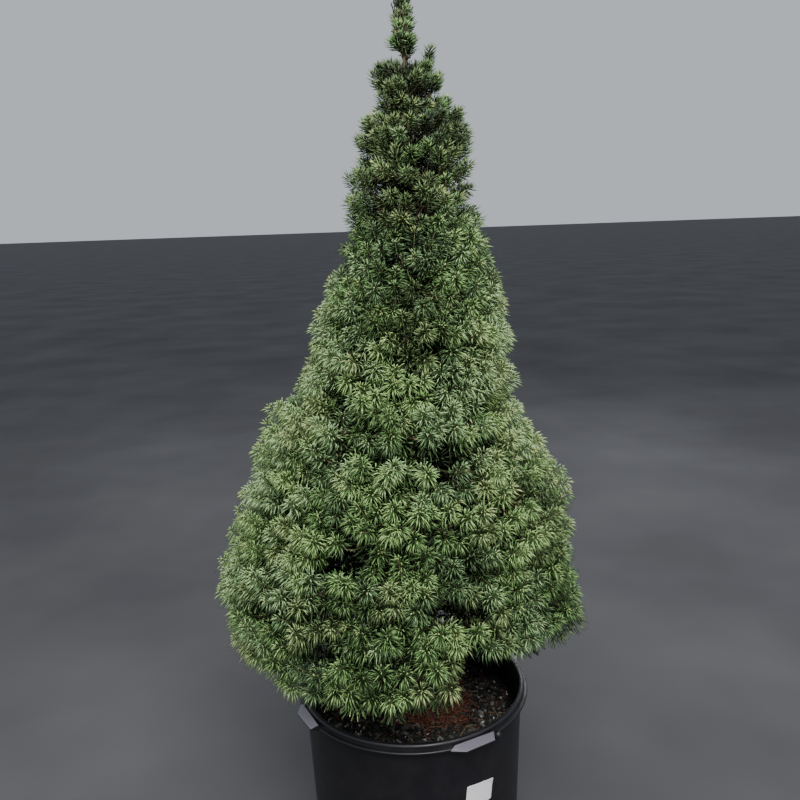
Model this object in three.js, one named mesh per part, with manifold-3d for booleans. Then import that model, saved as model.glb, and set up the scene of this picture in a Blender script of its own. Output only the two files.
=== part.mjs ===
// A dwarf alberta spruce in a round nursery pot.
// Millimetres, +Z up. The origin is the middle of the pot's flat underside.
// The plant is built as it grows: one whole trunk, boughs in tiers, and on each bough, or on the
// trunk itself higher up, one mass of foliage. Every mass keeps to its own cell of the crown: a
// sector round the trunk between two rising edges. Its shoots stand out of a smaller dense core.

import * as THREE from "three";
import Module from "manifold-3d";
import { mergeVertices } from "three/addons/utils/BufferGeometryUtils.js";

const wasm = await Module();
wasm.setup();

// Driving dimensions of the pot

const GAP = 0.3; // clearance between pieces that touch
const SLIVER = 0.01; // shortest edge that a join may leave

const POT_HEIGHT = 305;
const POT_RIM_RADIUS = 178;
const POT_BODY_RADIUS = 168; // just under the rim
const POT_FOOT_RADIUS = 157;
const POT_WALL = 3;
const POT_FLOOR = 4;
const POT_RIM_BAND = 13; // height of the turned-over rim
const POT_RIM_BEVEL = 3;
const POT_FOOT_BEVEL = 4;
const POT_SIDES = 36;
const GRIP_LENGTH = 78;
const GRIP_DEPTH = 12;
const GRIP_ROOT = 6; // how far a grip is sunk in the rim
const GRIP_DROP = 1.5; // how far it starts below the rim's top
const GRIP_LIP = 2; // how thick its outer edge is
const GRIP_TAPER = 0.45; // how much shorter that edge is, as a share
const GRIP_TURN = -62; // degrees, the first of four
const DRAIN_HOLES = 6;
const DRAIN_RADIUS = 8;
const DRAIN_LIFT = 2; // from the pot's floor to a hole's edge
const DRAIN_CUT = 40; // length of the cut that makes a hole
const DRAIN_SIDES = 8;
const SOIL_TOP = 258;
const SOIL_SAG = 7; // how much lower the soil lies at the wall than at the trunk
const SOIL_SHOULDER = 0.7; // share of the pot's radius where it starts to sag
const SOIL_SLOPE = 1; // how much lower it lies there already

const LABEL_WIDTH = 48;
const LABEL_HEIGHT = 35;
const LABEL_MIDDLE = 201; // height of its middle
const LABEL_THICKNESS = 0.5;
const LABEL_TURN = -57; // degrees round the pot
const LABEL_TILT = -5; // degrees, as it was stuck on a little askew
const LABEL_COLUMNS = 6;

// Driving dimensions of the trunk

const TRUNK_FOOT = SOIL_TOP + GAP;
const TRUNK_TOP = 1286;
const TRUNK_RADIUS = 16;
const TRUNK_TIP_RADIUS = 1.6;
const TRUNK_TAPER = 0.85; // power of its taper: under 1 it thins early
const ROOT_FLARE = 9;
const ROOT_FLARE_HEIGHT = 20;
const ROOT_LOBES = 5;
const ROOT_LOBE_DEPTH = 0.28; // share of the radius at the foot
const TRUNK_SIDES = 10;
const TRUNK_RINGS = 16;
const TRUNK_RING_SPREAD = 1.5; // power that sets its rings closer at the foot
const FACET_ALLOWANCE = 1.1; // a clearance round it grows by this, so that its flats keep it too

// How far the trunk stands from the pot's middle, as height and distance along +X
const TRUNK_LEAN = [[258, 0], [620, 4], [850, 12], [1000, 18], [1100, 22], [1217, 16], [1305, 16]];

// The crown, as height and radius, with the bare neck under the leader
const CROWN_OUTLINE = [
  [270, 108], [306, 138], [318, 186], [336, 220], [350, 240], [370, 258], [403, 267],
  [440, 275], [475, 281], [510, 278], [566, 267], [630, 254], [691, 217], [740, 202],
  [775, 174], [800, 163], [850, 157], [896, 149], [938, 134], [980, 109], [1028, 100],
  [1068, 98], [1100, 86], [1116, 85], [1144, 72], [1166, 46], [1205, 51], [1219, 12],
  [1240, 26], [1262, 22], [1305, 7],
];

// How far the crown bulges past the trunk's line, as height and distance along +X
const CROWN_OFFSET = [
  [300, 2], [370, 8], [403, 3], [440, -5], [480, -16], [510, -27], [566, -12], [630, -4],
  [691, -14], [740, -22], [775, -20], [800, -4], [830, 0], [896, 5], [980, 8], [1028, 0],
  [1068, -7], [1100, 6], [1144, 6], [1205, 2], [1305, 0],
];

// The upper edge of each tier, from the bottom up: the height that it has at the crown's surface,
// and how much it rises for each millimetre away from the trunk
const EDGES = [
  { height: 474, rise: 0.25 },
  { height: 572, rise: 0.3 },
  { height: 678, rise: 0.35 },
  { height: 785, rise: 0.4 },
  { height: 900, rise: 0.45 },
  { height: 1010, rise: 0.45 },
  { height: 1116, rise: 0.45 },
  { height: 1216, rise: 0.2 },
  { height: 1306, rise: 0, straight: true },
];

// The tiers under those edges: how many masses, which way the first one faces in degrees, how
// far apart their shoots stand, how long the needles are, and how steeply the shoots rise, unless
// their cell is steeper
const TIERS = [
  { name: "skirt", masses: 6, turn: -108, spacing: 68, needle: 35, lift: 2, boughs: true },
  { name: "lower", masses: 6, turn: -72, spacing: 70, needle: 36, lift: 8, boughs: true },
  { name: "middle", masses: 6, turn: -100, spacing: 68, needle: 35, lift: 14, boughs: true },
  { name: "shoulder", masses: 5, turn: -84, spacing: 64, needle: 33, lift: 20 },
  { name: "upper", masses: 4, turn: -62, spacing: 62, needle: 31, lift: 24 },
  { name: "high", masses: 3, turn: -95, spacing: 58, needle: 27, lift: 28 },
  { name: "top", masses: 2, turn: -50, spacing: 54, needle: 24, lift: 30 },
  { name: "crest", masses: 2, turn: -130, spacing: 44, needle: 18, lift: 34 },
  { name: "leader", masses: 1, turn: -90, spacing: 28, needle: 13, lift: 55 },
];

// The skirt's own lower edges, one for each of its masses and without waves: the first one draws
// in over the pot's rim at the front, and the second mass is missing, so that the soil shows
const SKIRT_EDGES = [
  { height: 418, rise: 0.62, straight: true },
  null,
  { height: 420, rise: 0.45, straight: true },
  { height: 388, rise: 0.35, straight: true },
  { height: 395, rise: 0.5, straight: true },
  { height: 428, rise: 0.6, straight: true },
];

const EDGE_WAVE = 0.07; // how far an edge waves, as a share of its distance from the trunk
const EDGE_WAVES = 3;
const EDGE_WAVE_SHIFT = 75.4; // height in which the wave turns by one radian
const CROWN_SLACK = 1.02; // how far a needle may pass the crown's outline, as a factor
const CELL_MARGIN = 2.5; // half of the free space between two masses
const POT_MARGIN = 3.5;
const BOUGH_REACH = 0.42; // share of the crown's radius where a bough ends
const BOUGH_RADIUS = 5.2;
const BOUGH_TIP_RADIUS = 3.6;
const BOUGH_SIDES = 6;
const STEM_SUNK = 0.94; // a stem starts inside its bough and is cut clear of it
const STEM_REACH = 0.55; // share of the crown's radius where it ends
const STEM_SHARE = 0.12; // radius of a stem on the trunk, as a share of its needles' length
const STEM_TAPER = 0.7;
const STEM_SIDES = 5;
const LOBE_DEPTH = 0.05; // how far a mass draws in at the sides of its cell
const SURFACE_STEPS = 4; // rounds in which a point on the crown's surface is found
const CORE_SHARE = 0.93; // share of its cell that a core fills
const CORE_CLEARANCE = 2; // from a core to a needle's end
const CORE_SEED = 1000; // first seed of the cores
const CORE_LEAST = 0.45; // least share of the crown's radius that a core reaches
const CORE_CROWN = 0.09; // how far a core draws in at the sides of its cell
const CORE_ROUGHNESS = 0.09; // how far its surface goes in and out
const CORE_BEHIND_BOUGH = 5; // from a bough's tip to the point where its core starts
const CORE_BEHIND_TRUNK = 0.16; // the same from the trunk's axis, as a share of the crown's radius
const LEADER_SPINDLE = [[1226, 3.5], [1244, 6], [1276, 5], [1300, 2]]; // heights and radii of its core
const SPINDLE_SIDES = 6;
const CORE_COLUMNS = 4;
const CORE_ROWS = 3;
const TWIG_SHARE = 0.09; // a shoot's twig radius as a share of its needles
const WHORL_SHARE = 0.27; // distance between two whorls of needles, as a share of their length
const BARE_SHARE = 0.15; // a twig's bare foot, as a share of its needles' length
const ROOT_SHARE = 1; // how deep a twig is rooted in its core, as a share of the same length
const NEEDLE_SPREAD = 0.62; // how far needles lean forward along their twig
const NEEDLE_LENGTHS = [1, 0.85, 0.7, 0.5]; // tried in turn until a needle has room
const TWIG_TAPER = [1.2, 1, 0.75]; // widths at the twig's three rings

// How a shoot strays from its place and its aim
const ROW_SLACK = 0.3; // share of a row that a mass may be taller before it gets one more
const ROW_STAGGER = 0.2; // in columns
const STRAY_ACROSS = 0.3; // in columns
const STRAY_UP = 0.5; // in rows
const SHORTEST_REACH = 0.97; // share of the crown's radius
const STRAY_REACH = 0.05;
const LIFT_FAN = 18; // degrees, from the middle of a mass to its edge
const STRAY_LIFT = 14; // degrees
const STRAY_HEADING = 24; // degrees

const rad = THREE.MathUtils.degToRad;
const mix = THREE.MathUtils.lerp;
const UP = new THREE.Vector3(0, 0, 1);

// Value at a height, by straight lines between the points of a list
function along(list, height) {
  const next = list.findIndex(([at]) => at >= height);
  if (next === 0) return list[0][1];
  if (next < 0) return list[list.length - 1][1];
  const [lowAt, low] = list[next - 1];
  const [highAt, high] = list[next];
  return mix(low, high, (height - lowAt) / (highAt - lowAt));
}

// Park and Miller's generator, so that the same plant grows every time
function seededRandom(seed) {
  let state = 7919 * (seed + 1);
  const next = () => {
    state = (state * 48271) % 2147483647;
    return state / 2147483647;
  };
  next();
  return next;
}

// Solids

function solidFromGeometry(geometry) {
  const bare = geometry.clone();
  bare.deleteAttribute("normal");
  bare.deleteAttribute("uv");
  const welded = mergeVertices(bare, 1e-4);
  return new wasm.Manifold(new wasm.Mesh({
    numProp: 3,
    vertProperties: Float32Array.from(welded.attributes.position.array),
    triVerts: Uint32Array.from(welded.index.array),
  }));
}

function geometryFromPoints(points, triangles) {
  const geometry = new THREE.BufferGeometry();
  geometry.setAttribute("position", new THREE.Float32BufferAttribute(points.flatMap((p) => p.toArray()), 3));
  geometry.setIndex(triangles.flat());
  return geometry;
}

function geometryFromSolid(solid) {
  const { vertProperties, triVerts } = solid.getMesh();
  const geometry = new THREE.BufferGeometry();
  geometry.setAttribute("position", new THREE.Float32BufferAttribute(vertProperties, 3));
  geometry.setIndex(new THREE.Uint32BufferAttribute(triVerts, 1));
  return geometry;
}

// The largest body of a solid, without the loose scraps that a cut can leave
function wholeBody(solid) {
  const bodies = solid.simplify(SLIVER).decompose();
  return bodies.sort((a, b) => b.volume() - a.volume())[0];
}

// A closed tube through rings of points, each given as centre, radius and axis
function ringTube(rings, sides) {
  const points = [];
  const triangles = [];
  for (const { centre, radius, axis } of rings) {
    const turn = new THREE.Quaternion().setFromUnitVectors(UP, axis);
    for (let side = 0; side < sides; side += 1) {
      const angle = (side / sides) * Math.PI * 2;
      const spoke = new THREE.Vector3(Math.cos(angle), Math.sin(angle), 0).multiplyScalar(radius);
      points.push(spoke.applyQuaternion(turn).add(centre));
    }
  }
  for (let ring = 0; ring < rings.length - 1; ring += 1) {
    for (let side = 0; side < sides; side += 1) {
      const a = ring * sides + side;
      const b = ring * sides + ((side + 1) % sides);
      triangles.push([a, b, b + sides], [a, b + sides, a + sides]);
    }
  }
  const last = (rings.length - 1) * sides;
  for (let side = 1; side < sides - 1; side += 1) {
    triangles.push([0, side + 1, side], [last, last + side, last + side + 1]);
  }
  return geometryFromPoints(points, triangles);
}

// The pot

function potBodyRadius(height) {
  return mix(POT_FOOT_RADIUS, POT_BODY_RADIUS, height / (POT_HEIGHT - POT_RIM_BAND));
}

function potShell() {
  const bandFoot = POT_HEIGHT - POT_RIM_BAND;
  const innerTop = potBodyRadius(POT_HEIGHT) - POT_WALL;
  const outline = [
    [0, 0], [POT_FOOT_RADIUS - POT_FOOT_BEVEL, 0], [POT_FOOT_RADIUS, POT_FOOT_BEVEL],
    [potBodyRadius(bandFoot), bandFoot], [POT_RIM_RADIUS, bandFoot],
    [POT_RIM_RADIUS, POT_HEIGHT - POT_RIM_BEVEL], [POT_RIM_RADIUS - POT_RIM_BEVEL, POT_HEIGHT],
    [innerTop, POT_HEIGHT],
    [potBodyRadius(POT_FLOOR) - POT_WALL, POT_FLOOR], [0, POT_FLOOR],
  ];
  const shell = new THREE.LatheGeometry(outline.map(([r, z]) => new THREE.Vector2(r, z)), POT_SIDES);
  return shell.rotateX(Math.PI / 2);
}

// One grip: a wedge that slopes out from the rim's top to its lower edge, with tapered ends
function potGrip(turn) {
  const inner = POT_RIM_RADIUS - GRIP_ROOT;
  const outer = POT_RIM_RADIUS + GRIP_DEPTH;
  const foot = POT_HEIGHT - POT_RIM_BAND;
  const outline = new THREE.Shape([
    new THREE.Vector2(inner, foot),
    new THREE.Vector2(outer, foot),
    new THREE.Vector2(outer, foot + GRIP_LIP),
    new THREE.Vector2(inner, POT_HEIGHT - GRIP_DROP),
  ]);
  const wedge = new THREE.ExtrudeGeometry(outline, { depth: GRIP_LENGTH, bevelEnabled: false });
  wedge.translate(0, 0, -GRIP_LENGTH / 2).rotateX(Math.PI / 2);
  const place = wedge.attributes.position;
  for (let i = 0; i < place.count; i += 1) {
    const reach = (place.getX(i) - inner) / (outer - inner);
    place.setY(i, place.getY(i) * (1 - GRIP_TAPER * reach));
  }
  return wedge.rotateZ(rad(turn));
}

function drainHole(turn) {
  const hole = new THREE.CylinderGeometry(DRAIN_RADIUS, DRAIN_RADIUS, DRAIN_CUT, DRAIN_SIDES);
  hole.rotateZ(Math.PI / 2).translate(POT_FOOT_RADIUS, 0, POT_FLOOR + DRAIN_LIFT + DRAIN_RADIUS);
  return hole.rotateZ(rad(turn));
}

function makePot() {
  let pot = solidFromGeometry(potShell());
  for (let grip = 0; grip < 4; grip += 1) {
    pot = pot.add(solidFromGeometry(potGrip(GRIP_TURN + 90 * grip)));
  }
  for (let hole = 0; hole < DRAIN_HOLES; hole += 1) {
    pot = pot.subtract(solidFromGeometry(drainHole((360 / DRAIN_HOLES) * hole)));
  }
  return geometryFromSolid(wholeBody(pot));
}

function makeSoil() {
  const foot = POT_FLOOR + GAP;
  const wall = (height) => potBodyRadius(height) - POT_WALL - GAP;
  const outline = [
    [0, foot], [wall(foot), foot], [wall(SOIL_TOP - SOIL_SAG), SOIL_TOP - SOIL_SAG],
    [SOIL_SHOULDER * POT_BODY_RADIUS, SOIL_TOP - SOIL_SLOPE],
    [2 * (TRUNK_RADIUS + ROOT_FLARE), SOIL_TOP], [0, SOIL_TOP],
  ];
  const soil = new THREE.LatheGeometry(outline.map(([r, z]) => new THREE.Vector2(r, z)), POT_SIDES);
  return geometryFromSolid(solidFromGeometry(soil.rotateX(Math.PI / 2)));
}

// The blank label: a thin sheet bent round the pot
function makeLabel() {
  const points = [];
  const triangles = [];
  for (const lift of [GAP, GAP + LABEL_THICKNESS]) {
    for (let column = 0; column <= LABEL_COLUMNS; column += 1) {
      for (const side of [-0.5, 0.5]) {
        const corner = new THREE.Vector2((column / LABEL_COLUMNS - 0.5) * LABEL_WIDTH, side * LABEL_HEIGHT);
        corner.rotateAround(new THREE.Vector2(), rad(LABEL_TILT));
        const height = LABEL_MIDDLE + corner.y;
        const angle = rad(LABEL_TURN) + corner.x / POT_BODY_RADIUS;
        const radius = potBodyRadius(height) + lift;
        points.push(new THREE.Vector3(Math.cos(angle) * radius, Math.sin(angle) * radius, height));
      }
    }
  }
  const outside = 2 * (LABEL_COLUMNS + 1);
  const quad = (a, b, c, d) => triangles.push([a, b, c], [a, c, d]);
  for (let column = 0; column < LABEL_COLUMNS; column += 1) {
    const a = 2 * column;
    quad(a, a + 1, a + 3, a + 2);
    quad(outside + a, outside + a + 2, outside + a + 3, outside + a + 1);
    quad(a, a + 2, outside + a + 2, outside + a);
    quad(a + 1, outside + a + 1, outside + a + 3, a + 3);
  }
  const end = 2 * LABEL_COLUMNS;
  quad(0, outside, outside + 1, 1);
  quad(end, end + 1, outside + end + 1, outside + end);
  return geometryFromPoints(points, triangles);
}

// The trunk

function trunkX(height) {
  return along(TRUNK_LEAN, height);
}

function trunkRadius(height) {
  const climb = (height - TRUNK_FOOT) / (TRUNK_TOP - TRUNK_FOOT);
  const flare = ROOT_FLARE * Math.exp((TRUNK_FOOT - height) / ROOT_FLARE_HEIGHT);
  return mix(TRUNK_RADIUS, TRUNK_TIP_RADIUS, climb ** TRUNK_TAPER) + flare;
}

// The trunk grown by a clearance on all sides, or the trunk itself where that is 0
function trunkGeometry(clearance) {
  const rings = [];
  for (let ring = 0; ring <= TRUNK_RINGS; ring += 1) {
    const height = mix(TRUNK_FOOT, TRUNK_TOP, (ring / TRUNK_RINGS) ** TRUNK_RING_SPREAD);
    const end = ring === 0 ? -clearance : ring === TRUNK_RINGS ? clearance : 0;
    rings.push({
      centre: new THREE.Vector3(trunkX(height), 0, height + end),
      radius: trunkRadius(height) + clearance * FACET_ALLOWANCE,
      axis: UP,
    });
  }
  const trunk = ringTube(rings, TRUNK_SIDES);
  const place = trunk.attributes.position;
  for (let i = 0; i < place.count; i += 1) {
    const height = place.getZ(i);
    const swell = ROOT_LOBE_DEPTH * Math.exp((TRUNK_FOOT - height) / ROOT_FLARE_HEIGHT);
    const x = place.getX(i) - trunkX(height);
    const factor = 1 + swell * Math.cos(ROOT_LOBES * Math.atan2(place.getY(i), x));
    place.setXY(i, trunkX(height) + x * factor, place.getY(i) * factor);
  }
  return trunk;
}

// The crown and its cells

function crownRadius(angle, height) {
  return along(CROWN_OUTLINE, height) + along(CROWN_OFFSET, height) * Math.cos(angle);
}

// Height of a tier's edge in a direction, at a distance from the trunk: it waves up and down
function edgeHeight(edge, angle, distance) {
  const turn = EDGE_WAVES * angle + edge.height / EDGE_WAVE_SHIFT;
  const wave = edge.straight ? 0 : EDGE_WAVE * distance * Math.sin(turn);
  return edge.height - edge.rise * (along(CROWN_OUTLINE, edge.height) - distance) + wave;
}

function polar(angle, distance, height) {
  return new THREE.Vector3(trunkX(height) + Math.cos(angle) * distance, Math.sin(angle) * distance, height);
}

// A point of a cell: across and up run from -1 to 1 between its sides, out from the trunk
function cellPoint(mass, across, up, distance) {
  const angle = mass.angle + across * mass.halfWidth;
  const low = edgeHeight(mass.low, angle, distance);
  const high = edgeHeight(mass.high, angle, distance);
  return polar(angle, distance, mix(low, high, (up + 1) / 2));
}

// The distance at which the crown's surface lies in that direction of a cell
function surfaceDistance(mass, across, up) {
  const lobe = 1 - LOBE_DEPTH * (across ** 4 + up ** 4);
  let distance = along(CROWN_OUTLINE, mass.low.height);
  for (let step = 0; step < SURFACE_STEPS; step += 1) {
    const { z } = cellPoint(mass, across, up, distance);
    distance = crownRadius(mass.angle + across * mass.halfWidth, z) * lobe;
  }
  return distance;
}

function clearOfPot(point) {
  const inside = Math.hypot(point.x, point.y) < potBodyRadius(point.z) - POT_WALL - POT_MARGIN;
  return point.z > POT_HEIGHT + POT_MARGIN || (inside && point.z > SOIL_TOP + POT_MARGIN);
}

function inCell(mass, point) {
  const x = point.x - trunkX(point.z);
  const distance = Math.hypot(x, point.y);
  const angle = Math.atan2(point.y, x);
  const turned = angle - mass.angle;
  const aside = mass.halfWidth - Math.abs(Math.atan2(Math.sin(turned), Math.cos(turned)));
  const fromSide = aside < Math.PI / 2 ? distance * Math.sin(aside) : distance;
  return (mass.halfWidth === Math.PI || fromSide > CELL_MARGIN)
    && point.z > edgeHeight(mass.low, angle, distance) + CELL_MARGIN
    && point.z < edgeHeight(mass.high, angle, distance) - CELL_MARGIN
    && distance > trunkRadius(point.z) + CELL_MARGIN
    && distance < crownRadius(angle, point.z) * CROWN_SLACK
    && clearOfPot(point);
}

function listMasses() {
  const masses = [];
  TIERS.forEach((tier, index) => {
    for (let i = 0; i < tier.masses; i += 1) {
      const low = index === 0 ? SKIRT_EDGES[i] : EDGES[index - 1];
      if (!low) continue;
      const slope = Math.atan((low.rise + EDGES[index].rise) / 2);
      masses.push({
        ...tier,
        lift: Math.max(tier.lift, THREE.MathUtils.radToDeg(slope)),
        shoot: tier.needle * (1 + 2 * WHORL_SHARE + BARE_SHARE + ROOT_SHARE),
        label: tier.masses > 1 ? `${tier.name}_${i + 1}` : tier.name,
        seed: masses.length + 1,
        angle: rad(tier.turn + (360 / tier.masses) * i),
        halfWidth: Math.PI / tier.masses,
        low,
        high: EDGES[index],
      });
    }
  });
  return masses;
}

// Where a mass's stem starts, as a distance from the trunk's axis
function stemStart(mass) {
  const middle = (mass.low.height + mass.high.height) / 2;
  return mass.boughs ? BOUGH_REACH * along(CROWN_OUTLINE, middle) : 0;
}

// Limbs

function taperedLimb(start, end, startRadius, endRadius, sides) {
  const axis = end.clone().sub(start).normalize();
  return ringTube([
    { centre: start, radius: startRadius, axis },
    { centre: end, radius: endRadius, axis },
  ], sides);
}

// A bough from inside the trunk to its tip, grown by a clearance
function boughGeometry(mass, clearance) {
  const start = cellPoint(mass, 0, 0, 0);
  const end = cellPoint(mass, 0, 0, stemStart(mass));
  const axis = end.clone().sub(start).normalize();
  end.addScaledVector(axis, clearance);
  return taperedLimb(start, end, BOUGH_RADIUS + clearance, BOUGH_TIP_RADIUS + clearance, BOUGH_SIDES);
}

function makeBough(mass, trunkSpace) {
  return geometryFromSolid(wholeBody(solidFromGeometry(boughGeometry(mass, 0)).subtract(trunkSpace)));
}

// Foliage

// The shoots of a mass: rows and columns over its outer face, each a little out of line
function listShoots(mass) {
  const random = seededRandom(mass.seed);
  const shoots = [];
  const rows = Math.max(1, Math.ceil((mass.high.height - mass.low.height) / mass.spacing - ROW_SLACK));
  for (let row = 0; row < rows; row += 1) {
    const rowUp = (2 * (row + 0.5)) / rows - 1;
    const arc = 2 * mass.halfWidth * surfaceDistance(mass, 0, rowUp);
    const columns = Math.max(2, Math.round(arc / mass.spacing));
    for (let column = 0; column < columns; column += 1) {
      const shift = (row % 2 ? ROW_STAGGER : -ROW_STAGGER) + (random() - 0.5) * STRAY_ACROSS;
      const across = (2 * (column + 0.5 + shift)) / columns - 1;
      const up = rowUp + ((random() - 0.5) * STRAY_UP) / rows;
      const reach = SHORTEST_REACH + STRAY_REACH * random();
      const tip = cellPoint(mass, across, up, surfaceDistance(mass, across, up) * reach);
      const lift = rad(mass.lift + LIFT_FAN * up + STRAY_LIFT * (random() - 0.5));
      const heading = Math.atan2(tip.y, tip.x - trunkX(tip.z)) + rad(STRAY_HEADING * (random() - 0.5));
      const aim = new THREE.Vector3(
        Math.cos(heading) * Math.cos(lift),
        Math.sin(heading) * Math.cos(lift),
        Math.sin(lift),
      );
      shoots.push({ tip, aim, twist: random() * Math.PI });
    }
  }
  return shoots;
}

// How far out a core reaches in one direction of its cell
function coreDistance(mass, across, up) {
  const inset = mass.shoot - mass.needle * ROOT_SHARE;
  const reach = surfaceDistance(mass, across, up);
  return Math.max(reach * CORE_LEAST, reach - inset) * (1 - CORE_CROWN * (across ** 2 + up ** 2));
}

function inCore(mass, point) {
  const x = point.x - trunkX(point.z);
  const distance = Math.hypot(x, point.y);
  if (mass.halfWidth === Math.PI) return distance < along(LEADER_SPINDLE, point.z);
  const angle = Math.atan2(point.y, x);
  const turned = angle - mass.angle;
  const across = Math.atan2(Math.sin(turned), Math.cos(turned)) / mass.halfWidth;
  const low = edgeHeight(mass.low, angle, distance);
  const up = (2 * (point.z - low)) / (edgeHeight(mass.high, angle, distance) - low) - 1;
  const fromMiddle = Math.max(Math.abs(across), Math.abs(up));
  return fromMiddle < CORE_SHARE && distance < coreDistance(mass, across, up) + CORE_CLEARANCE;
}

function distanceToShoot(mass, { tip, aim }, point) {
  const root = tip.clone().addScaledVector(aim, -mass.shoot);
  return new THREE.Line3(root, tip).closestPointToPoint(point, true, new THREE.Vector3()).distanceTo(point);
}

// A needle keeps to its cell, outside the core, and to the side of its own shoot
function needleFits(mass, shoot, others, middle, apex) {
  const own = distanceToShoot(mass, shoot, apex);
  return inCell(mass, apex) && inCell(mass, middle.clone().lerp(apex, 0.5)) && !inCore(mass, apex)
    && !inCore(mass, middle.clone().lerp(apex, 0.5))
    && others.every((other) => distanceToShoot(mass, other, apex) > own);
}

// The needle on one face of a twig: a slim pyramid, shortened or left out where it has no room
function needleApex(mass, shoot, others, face, length) {
  const middle = face[0].clone().add(face[1]).add(face[2]).divideScalar(3);
  const outward = face[1].clone().sub(face[0]).cross(face[2].clone().sub(face[0])).normalize();
  const direction = outward.addScaledVector(shoot.aim, NEEDLE_SPREAD).normalize();
  for (const share of NEEDLE_LENGTHS) {
    const apex = middle.clone().addScaledVector(direction, length * share);
    if (needleFits(mass, shoot, others, middle, apex)) return apex;
  }
  return null;
}

// One shoot: a three-sided twig with a whorl of three needles, one of six, and one at its tip
function shootSolid(mass, shoot, others) {
  const { tip, aim, twist } = shoot;
  const needle = mass.needle;
  const twig = needle * TWIG_SHARE;
  const whorl = needle * WHORL_SHARE;
  const bare = needle * (ROOT_SHARE + BARE_SHARE);
  const turn = new THREE.Quaternion().setFromUnitVectors(UP, aim);
  const root = tip.clone().addScaledVector(aim, -mass.shoot);
  const points = [root];
  const triangles = [];
  TWIG_TAPER.forEach((width, ring) => {
    for (let corner = 0; corner < 3; corner += 1) {
      const angle = twist + ring * (Math.PI / 3) + corner * ((Math.PI * 2) / 3);
      const spoke = new THREE.Vector3(Math.cos(angle), Math.sin(angle), 0).multiplyScalar(twig * width);
      points.push(spoke.applyQuaternion(turn).add(root).addScaledVector(aim, bare + ring * whorl));
    }
  });
  const addNeedle = (face) => {
    const [a, b, c] = face;
    const apex = needleApex(mass, shoot, others, face.map((i) => points[i]), needle);
    if (!apex) {
      triangles.push(face);
      return;
    }
    const top = points.push(apex) - 1;
    triangles.push([a, b, top], [b, c, top], [c, a, top]);
  };
  triangles.push([0, 2, 1], [0, 3, 2], [0, 1, 3]);
  for (let corner = 0; corner < 3; corner += 1) {
    const next = (corner + 1) % 3;
    addNeedle([1 + corner, 1 + next, 4 + corner]);
    triangles.push([1 + next, 4 + next, 4 + corner]);
    addNeedle([4 + corner, 4 + next, 7 + corner]);
    addNeedle([4 + next, 7 + next, 7 + corner]);
  }
  addNeedle([7, 8, 9]);
  return solidFromGeometry(geometryFromPoints(points, triangles));
}

// The dense inside of a mass: a cushion set back from the crown's surface, drawn in to its stem
function coreSolid(mass) {
  const random = seededRandom(CORE_SEED + mass.seed);
  const behind = mass.boughs ? CORE_BEHIND_BOUGH : CORE_BEHIND_TRUNK * surfaceDistance(mass, 0, 0);
  const points = [cellPoint(mass, 0, 0, stemStart(mass) + behind)];
  const triangles = [];
  for (let row = 0; row <= CORE_ROWS; row += 1) {
    for (let column = 0; column <= CORE_COLUMNS; column += 1) {
      const across = CORE_SHARE * ((2 * column) / CORE_COLUMNS - 1);
      const up = CORE_SHARE * ((2 * row) / CORE_ROWS - 1);
      const rough = 1 - CORE_ROUGHNESS * random();
      points.push(cellPoint(mass, across, up, coreDistance(mass, across, up) * rough));
    }
  }
  const at = (row, column) => 1 + row * (CORE_COLUMNS + 1) + column;
  for (let row = 0; row < CORE_ROWS; row += 1) {
    for (let column = 0; column < CORE_COLUMNS; column += 1) {
      const [a, b] = [at(row, column), at(row, column + 1)];
      const [c, d] = [at(row + 1, column + 1), at(row + 1, column)];
      triangles.push([a, b, c], [a, c, d]);
    }
  }
  for (let column = 0; column < CORE_COLUMNS; column += 1) {
    triangles.push([0, at(0, column + 1), at(0, column)]);
    triangles.push([0, at(CORE_ROWS, column), at(CORE_ROWS, column + 1)]);
  }
  for (let row = 0; row < CORE_ROWS; row += 1) {
    triangles.push([0, at(row, 0), at(row + 1, 0)]);
    triangles.push([0, at(row + 1, CORE_COLUMNS), at(row, CORE_COLUMNS)]);
  }
  return solidFromGeometry(geometryFromPoints(points, triangles));
}

// The leader's core: a slim spindle round the trunk's tip
function leaderCore() {
  const rings = LEADER_SPINDLE.map(([height, radius]) => {
    return { centre: new THREE.Vector3(trunkX(height), 0, height), radius, axis: UP };
  });
  return solidFromGeometry(ringTube(rings, SPINDLE_SIDES));
}

function massStem(mass) {
  const start = cellPoint(mass, 0, 0, stemStart(mass) * STEM_SUNK);
  const end = cellPoint(mass, 0, 0, surfaceDistance(mass, 0, 0) * STEM_REACH);
  const radius = mass.boughs ? BOUGH_TIP_RADIUS : STEM_SHARE * mass.needle;
  return solidFromGeometry(taperedLimb(start, end, radius, radius * STEM_TAPER, STEM_SIDES));
}

function makeMass(mass, trunkSpace) {
  const whole = mass.halfWidth === Math.PI;
  const pieces = whole ? [leaderCore()] : [coreSolid(mass), massStem(mass)];
  const shoots = listShoots(mass);
  for (const shoot of shoots) {
    pieces.push(shootSolid(mass, shoot, shoots.filter((other) => other !== shoot)));
  }
  let foliage = wasm.Manifold.union(pieces).subtract(trunkSpace);
  if (mass.boughs) foliage = foliage.subtract(solidFromGeometry(boughGeometry(mass, GAP)));
  return geometryFromSolid(wholeBody(foliage));
}

// Assembly

const MATERIALS = {
  pot: new THREE.MeshStandardMaterial({ color: 0x17171a, roughness: 0.5 }),
  soil: new THREE.MeshStandardMaterial({ color: 0x2c211a, roughness: 0.95 }),
  label: new THREE.MeshStandardMaterial({ color: 0xdfe1e4, roughness: 0.6 }),
  bark: new THREE.MeshStandardMaterial({ color: 0x5a4638, roughness: 0.9 }),
  needles: new THREE.MeshStandardMaterial({ color: 0x4c7031, roughness: 0.7, flatShading: true }),
};

const plant = new THREE.Group();

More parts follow.
